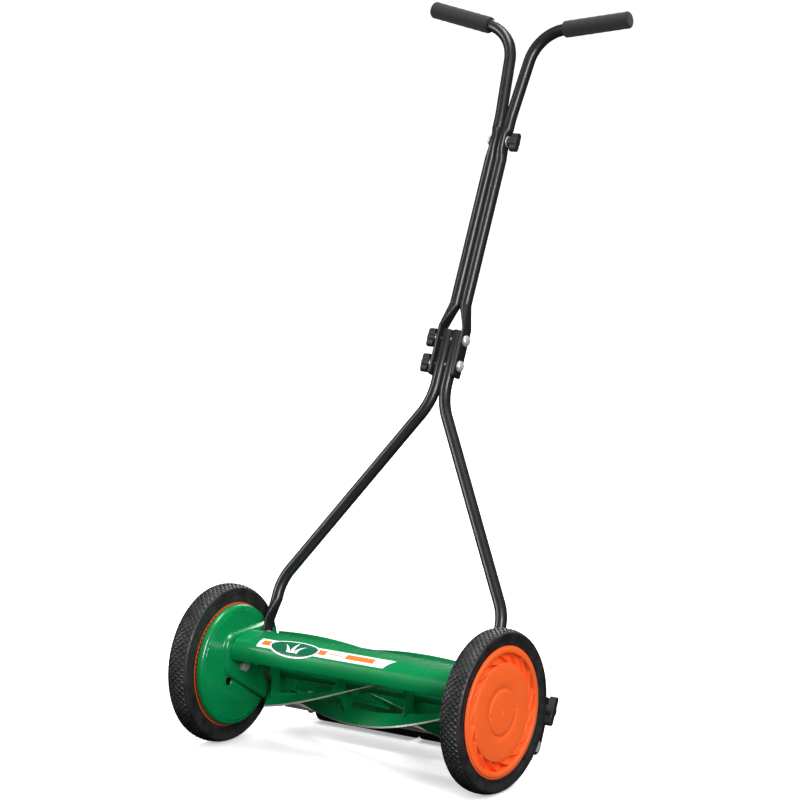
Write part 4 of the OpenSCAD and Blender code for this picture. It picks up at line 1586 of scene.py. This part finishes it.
    def build(self) -> None:
        """Builds tubes, grips and knobs and dresses the bolts."""
        for side in Side:
            word = side.word
            for part, stations in (("lower", self.lower_stations()), ("upper", self.upper_stations())):
                shape = self.tube(stations).on(side)
                piece = shape.build(f"bent_{part}_tube_{word}", BLACK_PAINT, sharp_deg=50.0)
                self.place(piece, "handle", "black_paint", f"{part}_tube_{word}")
            sleeve = self.grip().on(side).build(f"foam_grip_{word}", FOAM, sharp_deg=60.0)
            self.place(sleeve, "handle", "foam", f"grip_{word}")
        lap_out = self.lap_x + self.lap_section[0] + self.washer_t + self.knob_gap
        pinch_out = self.pinch_x + self.pinch_section[0] + self.washer_t + self.knob_gap
        knobs = (
            ("lower", Side.LEFT, lap_out, self.lap_bolts[0]),
            ("middle", Side.LEFT, lap_out, self.lap_bolts[1]),
            ("upper", Side.RIGHT, pinch_out, self.top_bolt),
        )
        for word, side, out, rise in knobs:
            piece = self.joint_knob(side, out, rise).build(f"hand_knob_{word}", BLACK_PLASTIC)
            soften(piece, 0.9, 3)
            self.place(piece, f"{word}_knob", "black_plastic", f"joint_knob_{word}")
        self.dress(ZINC, "lower_joint_bolts", "upper_joint_bolt")
        self.dress(ZINC, "joint_washers", edge_mm=0.2)


# ---------------------------------------------------------------- studio


@dataclass(frozen=True)
class Softbox:
    """A rectangular light: its place, aim, width, height and watts."""

    name: str
    at: Point3
    aim: Point3
    wide: float
    tall: float
    power: float


@dataclass
class Studio:
    """Camera, lights and floor, in metres."""

    camera_at: Point3 = (3.0854, -4.3694, 1.5689)
    look_at: Point3 = (0.0112, 0.1058, 0.5638)
    lens: float = 160.0
    film_width: float = 36.0
    floor_half: float = 40.0
    low_sky: float = 0.1
    high_sky: float = 0.5
    sky_edge: float = 0.3
    sun_power: float = 1.5
    sun_wide_deg: float = 70.0
    sun_turn_deg: Point3 = (-12.0, 14.0, 0.0)
    softboxes: tuple[Softbox, ...] = (
        Softbox("key", (3.2, -2.4, 2.2), (0.1, 0.1, 0.4), 1.1, 2.2, 170.0),
        Softbox("fill", (-3.2, -2.2, 1.8), (0.0, 0.1, 0.4), 0.8, 2.4, 75.0),
        Softbox("back", (-1.2, 3.6, 2.2), (0.0, 0.2, 0.4), 1.6, 1.6, 70.0),
        Softbox("top", (0.2, 0.4, 3.4), (0.0, 0.2, 0.0), 1.6, 1.2, 60.0),
    )

    def stand(self, name: str, data: bpy.types.ID, at: Point3, aim: Point3) -> bpy.types.Object:
        """Puts a camera or a light in the scene.

        Args:
            name: Its name.
            data: The camera or the light.
            at: Its place.
            aim: What it points at.

        Returns:
            The new object.
        """
        thing = bpy.data.objects.new(name, data)
        thing.location = at
        thing.rotation_mode = "QUATERNION"
        thing.rotation_quaternion = (Vector(aim) - Vector(at)).to_track_quat("-Z", "Y")
        bpy.context.scene.collection.objects.link(thing)
        return thing

    def camera(self) -> None:
        """Sets the camera."""
        data = bpy.data.cameras.new("camera")
        data.lens = self.lens
        data.sensor_width = self.film_width
        data.clip_end = 100.0
        bpy.context.scene.camera = self.stand("camera", data, self.camera_at, self.look_at)

    def lights(self) -> None:
        """Adds the wide light overhead and the softboxes."""
        sun = bpy.data.lights.new("overhead", "SUN")
        sun.energy = self.sun_power
        sun.angle = math.radians(self.sun_wide_deg)
        lamp = bpy.data.objects.new("overhead", sun)
        lamp.rotation_euler = [math.radians(turn) for turn in self.sun_turn_deg]
        lamp.visible_glossy = False
        bpy.context.scene.collection.objects.link(lamp)
        for box in self.softboxes:
            data = bpy.data.lights.new(box.name, "AREA")
            data.shape = "RECTANGLE"
            data.size, data.size_y = box.wide, box.tall
            data.energy = box.power
            self.stand(box.name, data, box.at, box.aim)

    def floor(self) -> None:
        """Adds the floor."""
        h = self.floor_half / MM
        corners = np.array([(-h, -h, 0.0), (h, -h, 0.0), (h, h, 0.0), (-h, h, 0.0)])
        plane = Shape(corners, [(0, 1, 2, 3)]).build("studio_floor", FLOOR, recalc=False)
        plane.visible_glossy = False
        plane.visible_diffuse = False

    def sky(self) -> None:
        """Adds the even light from above, dark below the floor."""
        world = bpy.data.worlds.new("studio")
        world.use_nodes = True
        tree = world.node_tree
        background = tree.nodes["Background"]
        place = tree.nodes.new("ShaderNodeTexCoord")
        parts = tree.nodes.new("ShaderNodeSeparateXYZ")
        ramp = tree.nodes.new("ShaderNodeMapRange")
        set_range(ramp, (-self.sky_edge, self.sky_edge), (self.low_sky, self.high_sky))
        tree.links.new(place.outputs["Generated"], parts.inputs[0])
        tree.links.new(parts.outputs["Z"], ramp.inputs["Value"])
        tree.links.new(ramp.outputs["Result"], background.inputs["Strength"])
        background.inputs["Color"].default_value = WHITE
        world.cycles_visibility.glossy = False
        bpy.context.scene.world = world

    def build(self) -> None:
        """Sets the whole studio up."""
        self.camera()
        self.floor()
        self.sky()
        self.lights()
        bpy.context.scene.view_settings.view_transform = "Standard"
        log.info("studio is set")


def main() -> None:
    """Builds the studio and every sub-assembly in order."""
    logging.basicConfig(level=logging.INFO, format="%(name)s: %(message)s")
    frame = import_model()
    datum, nodes = Datum.read(), frame["nodes"]
    Studio().build()
    for side in Side:
        Tyre(datum, nodes, side=side).build()
        Wheel(datum, nodes, side=side).build()
        SidePlate(datum, nodes, side=side).build()
    Cover(datum, nodes).build()
    Reel(datum, nodes).build()
    CutterUnit(datum, nodes).build()
    RollerUnit(datum, nodes).build()
    Handle(datum, nodes).build()


if __name__ == "__main__":
    main()
